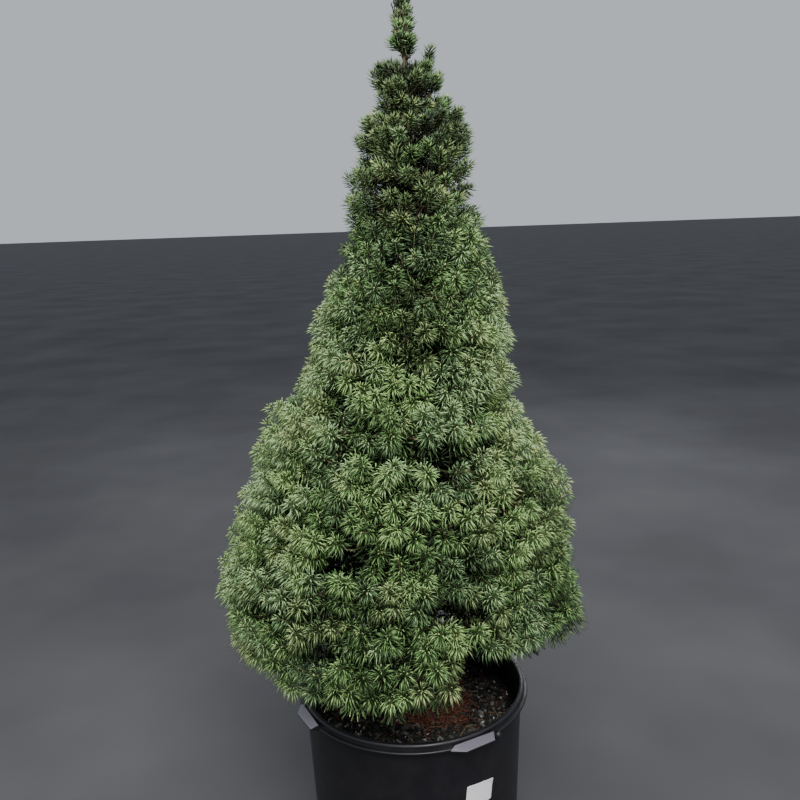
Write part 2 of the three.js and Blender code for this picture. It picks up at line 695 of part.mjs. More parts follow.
function addPiece(name, geometry, material) {
  const piece = new THREE.Mesh(geometry, MATERIALS[material]);
  piece.name = name;
  plant.add(piece);
}

addPiece("pot", makePot(), "pot");
addPiece("soil", makeSoil(), "soil");
addPiece("label", makeLabel(), "label");
addPiece("trunk", trunkGeometry(0), "bark");

const trunkSpace = solidFromGeometry(trunkGeometry(GAP));
for (const mass of listMasses()) {
  if (mass.boughs) addPiece(`bough_${mass.label}`, makeBough(mass, trunkSpace), "bark");
  addPiece(`foliage_${mass.label}`, makeMass(mass, trunkSpace), "needles");
}

export default plant;
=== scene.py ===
"""A dwarf alberta spruce in a round nursery pot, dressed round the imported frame.

Lengths are in millimetres, as in the part's source, and meshes are scaled to metres as they are made.
The crown repeats the source's rule: the same tiers, cells and main shoots. Here each main shoot
becomes a spray, on which finer shoots grow with all their needles.
"""

import math
from dataclasses import dataclass, replace

import bmesh
import bpy
import numpy as np
from mathutils import Matrix, Vector, noise


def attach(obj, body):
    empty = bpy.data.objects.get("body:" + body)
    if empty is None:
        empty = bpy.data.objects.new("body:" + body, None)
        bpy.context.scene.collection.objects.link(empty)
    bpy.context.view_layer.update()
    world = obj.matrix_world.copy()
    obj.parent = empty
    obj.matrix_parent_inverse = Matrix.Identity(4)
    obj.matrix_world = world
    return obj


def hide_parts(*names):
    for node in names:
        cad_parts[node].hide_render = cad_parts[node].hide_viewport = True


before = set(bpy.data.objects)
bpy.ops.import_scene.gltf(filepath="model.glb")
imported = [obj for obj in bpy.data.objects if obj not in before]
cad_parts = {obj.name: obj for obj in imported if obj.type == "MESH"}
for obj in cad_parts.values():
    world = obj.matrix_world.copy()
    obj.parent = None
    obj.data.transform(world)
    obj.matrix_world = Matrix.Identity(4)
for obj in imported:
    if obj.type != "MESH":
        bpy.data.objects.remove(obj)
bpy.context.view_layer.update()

MM = 0.001

# The pot, as in the source

POT_HEIGHT = 305
POT_RIM_RADIUS = 178
POT_BODY_RADIUS = 168
POT_FOOT_RADIUS = 157
POT_WALL = 3
POT_FLOOR = 4
POT_RIM_BAND = 13
POT_FOOT_BEVEL = 4
GRIP_DEPTH = 12
GRIP_TURN = -62
DRAIN_HOLES = 6
DRAIN_RADIUS = 8
DRAIN_LIFT = 2
SOIL_TOP = 258
SOIL_SAG = 7
GAP = 0.3
LABEL_WIDTH = 48
LABEL_HEIGHT = 35
LABEL_MIDDLE = 201
LABEL_TURN = -57
LABEL_TILT = -5

# Details of the pot, the label and the soil in this file only

FOOT_RING = (14, 11)  # inner edge of the ring that the pot stands on, from its outside: top and bottom
FOOT_RAISED = 1.2
RIM_TOP_RADIUS = 172.8  # of the rim's upper edge, inside its lower lip
RIM_LIP = 2.2  # radius of the lower lip's edge
RIM_BEAD = 4.2  # of the upper edge
RIM_INNER_EDGE = 2.6
RIM_WAIST = (0.6, 5.2)  # further out than the upper edge, above the lip's foot
GRIP_TOP = [  # corners of a grip's sloping top: from the axis, along the rim, above the grip's foot
    (174, -39.5, 1.6), (187, -20, 2), (185.5, 27.5, 2), (174.5, 33, 8.5), (173, -31, 8),
]
GRIP_BEVEL = 0.9
KNOB_PLACE = (180.5, 35, POT_HEIGHT - 8.5)  # from the axis, along the rim, and up
KNOB_RADII = (6, 5, 6.5)
LABEL_CORNER = 3.0
LABEL_THICKNESS = 0.25
LABEL_WAVE = 0.12
PEEL_START = 1.15  # the sheet lifts where its shares of width and height sum to more
PEEL = 4.8  # by this much for each whole share more
SOIL_RELIEF = [(3.0, 30, 3), (1.6, 9, 4), (0.8, 4, 5)]  # height, size and seed of the bumps
SOIL_CALM = 40  # it is even at the trunk, over about this distance
SAG_START = 0.6
LITTER_SEED = 41
LITTER_INNER = 24  # litter keeps this far from the axis

# The trunk and the crown, as in the source

TRUNK_FOOT = SOIL_TOP + GAP
TRUNK_TOP = 1286
TRUNK_RADIUS = 16
TRUNK_TIP_RADIUS = 1.6
TRUNK_TAPER = 0.85
ROOT_FLARE = 9
ROOT_FLARE_HEIGHT = 20
ROOT_LOBES = 5
ROOT_LOBE_DEPTH = 0.28
TRUNK_LEAN = [(258, 0), (620, 4), (850, 12), (1000, 18), (1100, 22), (1217, 16), (1305, 16)]
CROWN_OUTLINE = [
    (270, 108), (306, 138), (318, 186), (336, 220), (350, 240), (370, 258), (403, 267),
    (440, 275), (475, 281), (510, 278), (566, 267), (630, 254), (691, 217), (740, 202),
    (775, 174), (800, 163), (850, 157), (896, 149), (938, 134), (980, 109), (1028, 100),
    (1068, 98), (1100, 86), (1116, 85), (1144, 72), (1166, 46), (1205, 51), (1219, 12),
    (1240, 26), (1262, 22), (1305, 7),
]
CROWN_OFFSET = [
    (300, 2), (370, 8), (403, 3), (440, -5), (480, -16), (510, -27), (566, -12), (630, -4),
    (691, -14), (740, -22), (775, -20), (800, -4), (830, 0), (896, 5), (980, 8), (1028, 0),
    (1068, -7), (1100, 6), (1144, 6), (1205, 2), (1305, 0),
]
EDGES = [  # height, rise and whether it is straight, of each tier's upper edge
    (474, 0.25, False), (572, 0.3, False), (678, 0.35, False), (785, 0.4, False), (900, 0.45, False),
    (1010, 0.45, False), (1116, 0.45, False), (1216, 0.2, False), (1306, 0, True),
]
SKIRT_EDGES = [
    (418, 0.62, True), None, (420, 0.45, True), (388, 0.35, True), (395, 0.5, True), (428, 0.6, True),
]
TIERS = [  # name, masses, turn, spacing of the main shoots, lift, boughs
    ("skirt", 6, -108, 68, 2, True),
    ("lower", 6, -72, 70, 8, True),
    ("middle", 6, -100, 68, 14, True),
    ("shoulder", 5, -84, 64, 20, False),
    ("upper", 4, -62, 62, 24, False),
    ("high", 3, -95, 58, 28, False),
    ("top", 2, -50, 54, 30, False),
    ("crest", 2, -130, 44, 34, False),
    ("leader", 1, -90, 28, 55, False),
]
EDGE_WAVE = 0.07
EDGE_WAVES = 3
EDGE_WAVE_SHIFT = 75.4
BOUGH_REACH = 0.42
BOUGH_RADIUS = 5.2
BOUGH_TIP_RADIUS = 3.6
STEM_REACH = 0.55
LOBE_DEPTH = 0.05
SURFACE_STEPS = 4
ROW_SLACK = 0.3
ROW_STAGGER = 0.2
STRAY_ACROSS = 0.3
STRAY_UP = 0.5
SHORTEST_REACH = 0.97
STRAY_REACH = 0.05
LIFT_FAN = 18
STRAY_LIFT = 14
STRAY_HEADING = 24

# Bark in this file only, whose relief is a part of the limb's radius

TRUNK_SIDES = 26
TRUNK_RELIEF = 0.07
FLARE_END = 330  # rings lie closer up to this height
BOUGH_SIDES = 10
BOUGH_RINGS = 18
BOUGH_RELIEF = 0.1
FURROWS = (5, 0.2)  # their width, and that width as part of their length

# The fine shoots of this file only

CREST_LEVEL = 7  # the crest and the leader have smaller shoots
LEADER_LEVEL = 8
LEADER_LAYERS = 3  # it has the outer ones only
LEADER_FOOT = 1236  # its lowest shoots end at this height
LEADER_WIDTH_AT = [(1236, 1.0), (1250, 0.62), (1300, 0.62)]  # its shoots stand closer to its axis
NECK = (1202, 17)  # the crest leaves the trunk bare above this height, as far from its axis
FINE_LOBE_DEPTH = 0.015
FINE_SPREAD = 1.12
FINE_LIFT_FAN = 5
FINE_STRAY = 2.4
DEEPEST = 0.25  # no tip is nearer to the axis than this part of the surface's distance
NEEDLE_CLEARANCE = 9  # a shoot's tip ends this far inside the crown's outline, as its needles go on
POT_CLEARANCE = 3
LONG_SHOOTS = 0.035  # share of the shoots that stand out of the crown's outline
LONG_SHOOTS_FROM = 560  # height
LONG_SHOOTS_BY = (8, 20)
MOST_FACES = 185_000  # of one piece


@dataclass
class Layer:
    """One layer of fine shoots under the crown's surface."""

    spacing: float
    depth: tuple  # nearest and furthest distance of a shoot's tip below the surface
    length: float  # of the needled part of a shoot
    needles: int
    needle: float  # length of its needles
    width: float
    faces: int  # of each needle: 6 make a spindle, 4 a splinter
    shade: float  # painted shade: tones darker than the outside


LAYERS = [  # from the outside to the core
    Layer(25.5, (0, 10), 27, 50, 19, 1.75, 6, 0),
    Layer(28, (18, 34), 32, 36, 19, 1.9, 4, 1.7),
    Layer(38, (42, 62), 42, 34, 21, 2.5, 4, 3.2),
    Layer(50, (80, 125), 52, 36, 26, 3.4, 4, 4.6),
]
DOMED_LAYERS = 2  # the outer ones, which take the sprays' shape


@dataclass
class Growth:
    """How much smaller a mass's shoots are than the ordinary ones, as factors."""

    clearance: float = 1
    spacing: float = 1
    depth: float = 1
    length: float = 1
    needle: float = 1
    width: float = 1
    bud: float = 1
    main_twig: float = 1
    fine_twig: float = 1


ORDINARY = Growth()
SLIM = Growth(clearance=0.5, spacing=0.8, depth=0.6, length=0.7, needle=0.72, width=0.85,
              bud=0.7, main_twig=0.5, fine_twig=0.7)
LEADER = replace(SLIM, depth=0.45)

# Sprays, which gather the fine shoots

SPRAY_SPACING = 50
SPRAY_STRAY = 2.6
SPRAY_SIZES = (0.75, 1.3)
SPRAY_SEEDS = 5000
SPRAY_RIM = 1.3  # furthest that a shoot counts from its spray's middle, as part of the spray's radius
SPRAY_DOME = 12  # how much deeper the shoots at a spray's rim lie than its middle one
DOME_AT = [(900, 1.0), (1010, 0.5), (1216, 0.25)]  # flatter and more even sprays towards the top
SPRAY_FAN = 0.5  # how much the shoots turn outwards
TURN_UP_AT = [(330, 0.05), (420, 0.3), (900, 0.3), (1100, 0.1)]  # and upwards, as part of their length

# Needles along a shoot, whose places go from 0 at its foot to 1 at its tip

FIRST_NEEDLE = 0.04
GOLDEN_TURN = 2.39996  # radians from one needle to the next
STRAY_PLACE = 0.02
STRAY_TURN = 0.2
STRAY_LEAN = 0.12
FOOT_LEAN = 12  # degrees that a needle leans forward
TIP_LEAN = 22  # more at the tip
BRUSH_LEAN = 32  # and more still in the last part of the shoot
BRUSH = 0.85  # which begins here
HUG_AT = [(980, 0), (1150, 16), (1220, 24)]  # degrees that needles lean forward more near the top
SHOOT_LENGTHS = (0.8, 1.12)
NEEDLE_LENGTHS = (0.82, 1.1)
NEEDLE_WIDTHS = (0.85, 1.1)
NEEDLE_SCALE_AT = [(300, 1.04), (850, 1.0), (1100, 0.76)]  # shorter needles towards the top
TIP_SHORTER = 0.35  # part of its length that a needle at the tip lacks
TIP_SHORTER_FROM = 0.8
CROWNED = 0.45  # share of the shoots with short bright needles round the bud
CROWNED_FROM = 0.86
CROWNED_LENGTH = 0.7
CROWNED_TONE = 1.3
BELLY = 0.62  # where a needle is thickest
BEND = 0.14  # how far the needles' ends turn forward, as part of their length
DROOP_AT = [(300, 0.28), (900, 0.24), (1080, 0.0)]  # and hang down
BUD_LENGTH = 5.5
BUD_WIDTH = 3.2
BUD_SUNK = 1.5
BUD_SIZES = (0.7, 1.2)

# Colours of the needles

TONES = [  # base colours from the shaded inside to the pale tips
    (0.009, 0.015, 0.006),
    (0.022, 0.038, 0.015),
    (0.045, 0.077, 0.031),
    (0.074, 0.128, 0.051),
    (0.112, 0.192, 0.078),
    (0.170, 0.274, 0.120),
    (0.268, 0.398, 0.178),
    (0.425, 0.570, 0.275),
]
HUES = [(0.96, 1.0, 0.99), (0.94, 1.04, 0.80), (1.08, 1.0, 0.88)]  # grey-green, fresh and olive sprays
HUE_SHARES = [(0.35, 0.5, 0.15), (0.4, 0.35, 0.25), (0.08, 0.27, 0.65)]  # low, middle and high tiers
OWN_HUES = 0.3  # share of the shoots that don't take their spray's hue
TONE_AT = [  # by height
    (300, 8.0), (400, 7.8), (450, 6.2), (540, 5.5), (620, 5.6), (700, 6.3), (800, 6.6), (880, 5.8),
    (960, 4.0), (1060, 3.9), (1120, 4.2), (1220, 3.4), (1300, 3.4),
]
LEFT_PAINTED_LIGHT_AT = [  # painted light and shade added on the crown's left side
    (300, 0.8), (480, 2.6), (600, 3.6), (720, 3.9), (850, 3.6), (950, 1.6), (1060, 0.6), (1140, -1.6),
]
# painted light and shade added on the crown's right side
RIGHT_PAINTED_LIGHT_AT = [
    (300, 0.2), (480, -1.9), (600, 0.8), (700, 3.1), (850, 3.8), (950, 1.6), (1060, 0.6), (1140, -1.6),
]
SIDE_START = 0.35  # part of the crown's radius where the painted light and shade of its sides begin
SIDE_MOST = 0.6
NARROWEST = 20
CROWN_MIDDLE = 6
SHADE_X = (120, 220)  # painted shade: the lower right part is darker, fully so at the second value of each
SHADE_Z = (540, 450)
SHADE_TONE = 1.2
PATCHES = [(80, 1.5), (38, 1.0)]  # size of the lighter and darker patches, and how strong they are
PATCH_SEED = 9
RIM_PAINTED_SHADE = 0.8  # painted shade: darker at a spray's rim, which lies deeper
SPRAY_TONES = 0.65  # spread of the tones from spray to spray, shoot to shoot and needle to needle
SHOOT_TONES = 0.35
NEEDLE_TONES = 0.6
TIP_TONE = (0.75, 0.6)  # lighter needles from this place on the shoot
FOOT_TONE = (0.4, 1.0)  # darker ones up to this place
BUDS = [(0.16, 0.19, 0.07), (0.42, 0.45, 0.20)]  # in shade and in the light
LIGHT_BUD = 5.2  # a tone
FRESH = (0.33, 0.42, 0.15)  # needles round a few buds
FRESH_SHARE = 0.1
FRESH_FROM = 0.88
FRESH_SLOT = len(HUES) * len(TONES)  # slots of the needles' pieces after the tones
BUD_SLOT = FRESH_SLOT + 1

# Dark hollows of the crown that the photograph shows: direction in degrees, height, radius

HOLLOWS = [
    (-107, 608, 25), (-113, 602, 16), (-85, 541, 20), (-80, 550, 20), (-73, 537, 16), (-78, 694, 20),
    (-89, 736, 15), (-117, 729, 16), (-86, 856, 17), (-119, 846, 13), (-80, 940, 13), (-76, 1085, 11),
    (-86, 1105, 11), (-116, 496, 20), (-75, 442, 26),
]
HOLLOW_SEED = 77
RANDOM_HOLLOWS = 16  # more of them on the sides and the back
RANDOM_HOLLOW_RANGES = [(-50, 230), (400, 880), (15, 24)]  # of the same three values
HOLLOW_SINK = 8
HOLLOW_TAPER = 0.6  # of their radius in the inner layers
HOLLOW_DEPTH = 90
HOLLOW_RISE = 24  # degrees, of the ones on the sides and the back

# Twigs, whose radii go from the foot to the tip

STEM_RADII = (3.5, 2.0)
STEM_SHARES = (-0.03, 0.33, 0.66, 1)  # its rings, from the bough's end to the hub
MAIN_TWIG_RADII = (1.9, 0.8)
MAIN_TWIG_RINGS = 8
MAIN_TWIG_PULL = 0.5  # its bend's distance from the tip, as part of its length
MAIN_TWIG_FOOT = 0.3  # the first one's place on the mass's stem
MAIN_TWIG_STRAY = 6
MAIN_TWIG_END = 34  # how far below its shoot's tip it ends
SLIM_TWIG_END = 12
FINE_TWIG_RADII = (1.15, 0.6)
FINE_TWIG_ROOTS = (3, 7)  # it leaves the main twig at a ring from the first value to below the second
FINE_TWIG_KNEE = 1.3  # its bend's distance from the tip, as part of the shoot's length
STRAW_TWIGS = 0.15

# Tips of single shoots that stand out of the crown in the photograph, as distance to the right and height

SINGLE_SHOOTS = [
    (52, 1228), (51, 1221), (49, 1214), (48, 1207), (46, 1199), (63, 1197), (58, 1190), (-4, 1215),
    (3, 1207), (-25, 1200), (-17, 1206), (73, 1166), (74, 1158), (88, 1151), (86, 1143), (112, 1009),
    (108, 1022), (-38, 1140), (-66, 1069), (14, 1240), (20, 1234), (38, 1204), (100, 1110), (97, 1098),
]
SINGLE_SEED = 91
SINGLE_RISE = 70  # degrees
SINGLE_STRAY_RISE = 6
SINGLE_DEPTH = 12  # furthest to the front or the back
SINGLE_DROP = 60  # their twigs leave the trunk this far below the tip
SINGLE_KNEE = 30
SINGLE_AXIS = 1150  # height at which they spread from the trunk
SINGLE_TWIG_RADII = (1.3, 0.5)
SINGLE_TONES = 0.4

# Stage and camera

FLOOR_SIZE = 400_000
CAMERA_PLACE = (-5, -1170, 1000)
CAMERA_PITCH = 12
CAMERA_ROLL = 2
CAMERA_FOCAL = 36.9


# Small helpers

def along(points, height):
    """Value at a height, by straight lines between the points of a list."""
    if height <= points[0][0]:
        return points[0][1]
    for (low_at, low), (high_at, high) in zip(points, points[1:]):
        if height <= high_at:
            return low + (high - low) * (height - low_at) / (high_at - low_at)
    return points[-1][1]


def at_heights(points, places):
    """Values of such a list for places (n, 3)."""
    return np.array([along(points, height) for height in places[:, 2]])


def fade(values, start, end):
    """From 0 at start to 1 at end."""
    return np.clip((values - start) / (end - start), 0, 1)


def past(share, start):
    """How far a place on a shoot lies past start: 0 up to there, 1 at the tip."""
    return np.clip(share - start, 0, 1) / (1 - start)


def compass(heading, rise):
    """Directions from headings and rises in radians."""
    return np.stack([np.cos(heading) * np.cos(rise), np.sin(heading) * np.cos(rise), np.sin(rise)], axis=-1)


def unit(vectors):
    return vectors / np.maximum(np.linalg.norm(vectors, axis=-1, keepdims=True), 1e-9)


def seeded_random(seed):
    """Park and Miller's generator, as in the source."""
    state = 7919 * (seed + 1)

    def step():
        nonlocal state
        state = (state * 48271) % 2147483647
        return state / 2147483647

    step()
    return step


def ripple(point, scale, seed=0):
    """Smooth noise from -1 to 1 at a place in millimetres, with bumps of about the given size."""
    return noise.noise(Vector(point) / scale + Vector((seed * 17.3, seed * 5.1, 0)))


# Meshes

def mesh_object(name, points, faces, materials, slots=None, smooth=True):
    """An object from points in millimetres and triangles, with one material index for each."""
    mesh = bpy.data.meshes.new(name)
    mesh.vertices.add(len(points))
    mesh.vertices.foreach_set("co", (np.asarray(points, np.float32) * MM).ravel())
    mesh.loops.add(3 * len(faces))
    mesh.loops.foreach_set("vertex_index", np.asarray(faces, np.int32).ravel())
    mesh.polygons.add(len(faces))
    mesh.polygons.foreach_set("loop_start", np.arange(0, 3 * len(faces), 3, dtype=np.int32))
    for material in materials:
        mesh.materials.append(material)
    if slots is not None:
        mesh.polygons.foreach_set("material_index", np.asarray(slots, np.int32))
    mesh.polygons.foreach_set("use_smooth", np.full(len(faces), smooth))
    mesh.update(calc_edges=True)
    return link(bpy.data.objects.new(name, mesh))


def link(piece):
    bpy.context.collection.objects.link(piece)
    return piece


def body_object(name, body, materials=()):
    """An object from a bmesh body."""
    mesh = bpy.data.meshes.new(name)
    body.to_mesh(mesh)
    for material in materials:
        mesh.materials.append(material)
    return link(bpy.data.objects.new(name, mesh))


def shade_smooth(piece, sharp=None):
    """Smooth shading, apart from edges sharper than an angle in degrees."""
    piece.data.polygons.foreach_set("use_smooth", np.full(len(piece.data.polygons), True))
    if sharp:
        piece.data.set_sharp_from_angle(angle=math.radians(sharp))


def place(piece, slot, *nodes):
    """Puts a piece of the plant on the one body; it may stand for CAD nodes, which are hidden."""
    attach(piece, "root")
    if nodes:
        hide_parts(*nodes)
    return piece


def join_arrays(parts):
    """Points, faces and slots of several meshes as one."""
    points, faces, slots = [], [], []
    offset = 0
    for part_points, part_faces, part_slots in parts:
        points.append(part_points)
        faces.append(part_faces + offset)
        slots.append(np.broadcast_to(part_slots, len(part_faces)))
        offset += len(part_points)
    return np.concatenate(points), np.concatenate(faces), np.concatenate(slots)


def repeat_faces(pattern, count, corners):
    """The faces of one small body, repeated for each copy."""
    faces = np.array(pattern)[None] + (np.arange(count) * corners)[:, None, None]
    return faces.reshape(-1, 3)


def tubes(paths, radii, sides):
    """Closed tubes along paths (n, rings, 3) with radii (n, rings)."""
    count, rings, _ = paths.shape
    tangent = unit(np.gradient(paths, axis=1))
    helper = np.where(np.abs(tangent[..., 2:3]) < 0.9, [0.0, 0.0, 1.0], [1.0, 0.0, 0.0])
    first = unit(np.cross(tangent, helper))
    second = np.cross(tangent, first)
    turn = np.arange(sides) * 2 * math.pi / sides
    ring = first[:, :, None] * np.cos(turn)[:, None] + second[:, :, None] * np.sin(turn)[:, None]
    points = (paths[:, :, None] + ring * radii[:, :, None, None]).reshape(-1, 3)
    pattern = []
    for step in range(rings - 1):
        for side in range(sides):
            a = step * sides + side
            b = step * sides + (side + 1) % sides
            pattern += [(a, b, b + sides), (a, b + sides, a + sides)]
    last = (rings - 1) * sides
    for side in range(1, sides - 1):
        pattern += [(0, side + 1, side), (last, last + side, last + side + 1)]
    return points, repeat_faces(pattern, count, rings * sides)


def needle_bodies(base, direction, bend, length, width, faces, random):
    """Closed slim needles: three-sided spindles of 6 faces, or splinters of 4."""
    count = len(base)
    helper = unit(np.cross(direction, unit(random.normal(size=(count, 3)))))
    other = np.cross(direction, helper)
    tip = base + (direction + bend) * length[:, None]
    corners = []
    for corner in range(3):
        turn = corner * 2 * math.pi / 3
        corners.append((helper * math.cos(turn) + other * math.sin(turn)) * (width[:, None] / 2))
    if faces == 6:
        middle = base + direction * (BELLY * length[:, None])
        points = np.stack([base, *[middle + corner for corner in corners], tip], axis=1)
        pattern = [(0, 2, 1), (0, 3, 2), (0, 1, 3), (1, 2, 4), (2, 3, 4), (3, 1, 4)]
    else:
        points = np.stack([*[tip + corner for corner in corners], base], axis=1)
        pattern = [(0, 1, 2), (0, 3, 1), (1, 3, 2), (2, 3, 0)]
    return points.reshape(-1, 3), repeat_faces(pattern, count, points.shape[1])


def bezier(start, bend, end, rings):
    """Curves (n, rings, 3) from start to end, drawn towards the points of bend."""
    share = np.linspace(0, 1, rings)[None, :, None]
    start, bend, end = start[:, None], bend[:, None], end[:, None]
    return (1 - share) ** 2 * start + 2 * share * (1 - share) * bend + share ** 2 * end


# Materials

def new_material(name, colour, roughness, specular=0.5):
    material = bpy.data.materials.new(name)
    material.use_nodes = True
    shader = material.node_tree.nodes["Principled BSDF"]
    shader.inputs["Base Color"].default_value = (*colour, 1)
    shader.inputs["Roughness"].default_value = roughness
    shader.inputs["Specular IOR Level"].default_value = specular
    return material


class Pattern:
    """A material whose nodes are added one by one, all in object coordinates."""

    def __init__(self, name, colour, roughness, specular=0.5):
        self.material = new_material(name, colour, roughness, specular)
        self.nodes = self.material.node_tree.nodes
        self.links = self.material.node_tree.links
        self.shader = self.nodes["Principled BSDF"]
        self.place = self.nodes.new("ShaderNodeTexCoord").outputs["Object"]
        self.normal = None

    def node(self, kind, inputs=(), **settings):
        made = self.nodes.new(kind)
        for key, value in settings.items():
            setattr(made, key, value)
        for socket, value in dict(inputs).items():
            if isinstance(value, bpy.types.NodeSocket):
                self.links.new(value, made.inputs[socket])
            else:
                made.inputs[socket].default_value = value
        return made

    def stretched(self, scale):
        return self.node("ShaderNodeMapping", {"Vector": self.place, "Scale": scale}).outputs["Vector"]

    def noise(self, scale, detail=3, roughness=0.55, vector=None):
        inputs = {"Vector": vector or self.place, "Scale": scale, "Detail": detail, "Roughness": roughness}
        return self.node("ShaderNodeTexNoise", inputs).outputs["Fac"]

    def ramp(self, factor, stops):
        made = self.node("ShaderNodeValToRGB", {"Fac": factor})
        ramp = made.color_ramp
        while len(ramp.elements) < len(stops):
            ramp.elements.new(0.5)
        for element, (position, colour) in zip(ramp.elements, stops):
            element.position = position
            element.color = (*colour, 1) if len(colour) == 3 else (colour[0], colour[0], colour[0], 1)
        return made.outputs["Color"]

    def blend(self, factor, first, second):
        made = self.node("ShaderNodeMix", data_type="RGBA")
        self.links.new(factor, made.inputs["Factor"])
        for socket, value in (("A", first), ("B", second)):
            target = next(s for s in made.inputs if s.name == socket and s.type == "RGBA")
            if isinstance(value, bpy.types.NodeSocket):
                self.links.new(value, target)
            else:
                target.default_value = (*value, 1)
        return next(s for s in made.outputs if s.type == "RGBA")

    def bump(self, height, strength, distance):
        inputs = {"Height": height, "Strength": strength, "Distance": distance}
        if self.normal:
            inputs["Normal"] = self.normal
        self.normal = self.node("ShaderNodeBump", inputs).outputs["Normal"]

    def finish(self, colour=None, roughness=None):
        if colour:
            self.links.new(colour, self.shader.inputs["Base Color"])
        if roughness:
            self.links.new(roughness, self.shader.inputs["Roughness"])
        if self.normal:
            self.links.new(self.normal, self.shader.inputs["Normal"])
        return self.material


def plastic_material():
    """Black moulded plastic: satin, with a dusty bloom, scuffs and fine mould texture."""
    made = Pattern("pot_plastic", (0.010, 0.010, 0.012), 0.42, 0.65)
    dust = made.ramp(made.noise(9, 6, 0.65), [(0.46, (0.0,)), (0.78, (0.4,))])
    scuffs = made.ramp(made.noise(60, 4, 0.7, made.stretched((1, 1, 6))), [(0.66, (0.0,)), (0.74, (0.55,))])
    colour = made.blend(dust, (0.0045, 0.0040, 0.0066), (0.018, 0.016, 0.019))
    colour = made.blend(scuffs, colour, (0.045, 0.044, 0.046))
    roughness = made.ramp(made.noise(35, 5), [(0.3, (0.38,)), (0.75, (0.6,))])
    made.bump(made.noise(900, 2), 0.10, 0.0004)
    made.bump(made.noise(14, 3), 0.25, 0.0012)
    return made.finish(colour, roughness)


def bark_material():
    """Grey-brown bark with furrows along the limb and paler scales."""
    made = Pattern("bark", (0.10, 0.066, 0.045), 0.85, 0.3)
    furrows = made.noise(120, 6, 0.7, made.stretched((1, 1, 0.22)))
    scales = made.noise(260, 4, 0.6)
    tones = [(0.3, (0.030, 0.019, 0.013)), (0.52, (0.095, 0.062, 0.042)), (0.75, (0.19, 0.145, 0.11))]
    colour = made.ramp(furrows, tones)
    colour = made.blend(made.ramp(scales, [(0.52, (0.0,)), (0.7, (0.6,))]), colour, (0.15, 0.10, 0.068))
    made.bump(furrows, 0.8, 0.003)
    made.bump(scales, 0.4, 0.001)
    return made.finish(colour)


def soil_material():
    """Dark damp compost with crumbs."""
    made = Pattern("compost", (0.02, 0.013, 0.009), 0.95, 0.2)
    crumbs = made.noise(240, 8, 0.75)
    patches = made.noise(28, 4)
    tones = [(0.36, (0.010, 0.010, 0.010)), (0.55, (0.046, 0.046, 0.042)), (0.75, (0.130, 0.127, 0.116))]
    colour = made.ramp(crumbs, tones)
    colour = made.blend(made.ramp(patches, [(0.5, (0.0,)), (0.68, (0.5,))]), colour, (0.050, 0.036, 0.024))
    made.bump(crumbs, 1.0, 0.004)
    return made.finish(colour)


def paper_material():
    """White coated paper, a little soiled and creased."""
    made = Pattern("label_paper", (0.78, 0.79, 0.80), 0.45)
    soil = made.ramp(made.noise(38, 5, 0.7), [(0.45, (0.0,)), (0.85, (0.5,))])
    colour = made.blend(soil, (0.93, 0.91, 0.93), (0.64, 0.60, 0.62))
    made.bump(made.noise(55, 3), 0.25, 0.0008)
    return made.finish(colour)


# The crown's cells

def pot_body_radius(height):
    share = height / (POT_HEIGHT - POT_RIM_BAND)
    return POT_FOOT_RADIUS + (POT_BODY_RADIUS - POT_FOOT_RADIUS) * share


def trunk_x(height):
    return along(TRUNK_LEAN, height)


def trunk_radius(height):
    climb = min(1, max(0, (height - TRUNK_FOOT) / (TRUNK_TOP - TRUNK_FOOT)))
    flare = ROOT_FLARE * math.exp((TRUNK_FOOT - height) / ROOT_FLARE_HEIGHT)
    return TRUNK_RADIUS + (TRUNK_TIP_RADIUS - TRUNK_RADIUS) * climb ** TRUNK_TAPER + flare


def crown_radius(angle, height):
    return along(CROWN_OUTLINE, height) + along(CROWN_OFFSET, height) * math.cos(angle)


def edge_height(edge, angle, distance):
    height, rise, straight = edge
    turn = EDGE_WAVES * angle + height / EDGE_WAVE_SHIFT
    wave = 0 if straight else EDGE_WAVE * distance * math.sin(turn)
    return height - rise * (along(CROWN_OUTLINE, height) - distance) + wave


class Mass:
    """One mass of foliage and the cell of the crown that it keeps to."""

    def __init__(self, level, index, seed):
        name, count, turn, self.spacing, self.lift, self.boughs = TIERS[level]
        self.level = level
        self.growth = {CREST_LEVEL: SLIM, LEADER_LEVEL: LEADER}.get(level, ORDINARY)
        self.seed = seed
        self.label = f"{name}_{index + 1}" if count > 1 else name
        self.angle = math.radians(turn + 360 / count * index)
        self.half_width = math.pi / count
        self.low = SKIRT_EDGES[index] if level == 0 else EDGES[level - 1]
        self.high = EDGES[level]
        slope = math.degrees(math.atan((self.low[1] + self.high[1]) / 2))
        self.lift = max(self.lift, slope)

    def point(self, across, up, distance):
        angle = self.angle + across * self.half_width
        low = edge_height(self.low, angle, distance)
        high = edge_height(self.high, angle, distance)
        height = low + (high - low) * (up + 1) / 2
        return Vector((trunk_x(height) + math.cos(angle) * distance, math.sin(angle) * distance, height))

    def surface(self, across, up, lobe_depth=LOBE_DEPTH):
        lobe = 1 - lobe_depth * (across ** 4 + up ** 4)
        distance = along(CROWN_OUTLINE, self.low[0])
        for _ in range(SURFACE_STEPS):
            height = self.point(across, up, distance).z
            distance = crown_radius(self.angle + across * self.half_width, height) * lobe
        return distance

    def stem_start(self):
        middle = (self.low[0] + self.high[0]) / 2
        return BOUGH_REACH * along(CROWN_OUTLINE, middle) if self.boughs else trunk_radius(middle)


def list_masses():
    masses = []
    for level, tier in enumerate(TIERS):
        for index in range(tier[1]):
            if level > 0 or SKIRT_EDGES[index]:
                masses.append(Mass(level, index, len(masses) + 1))
    return masses


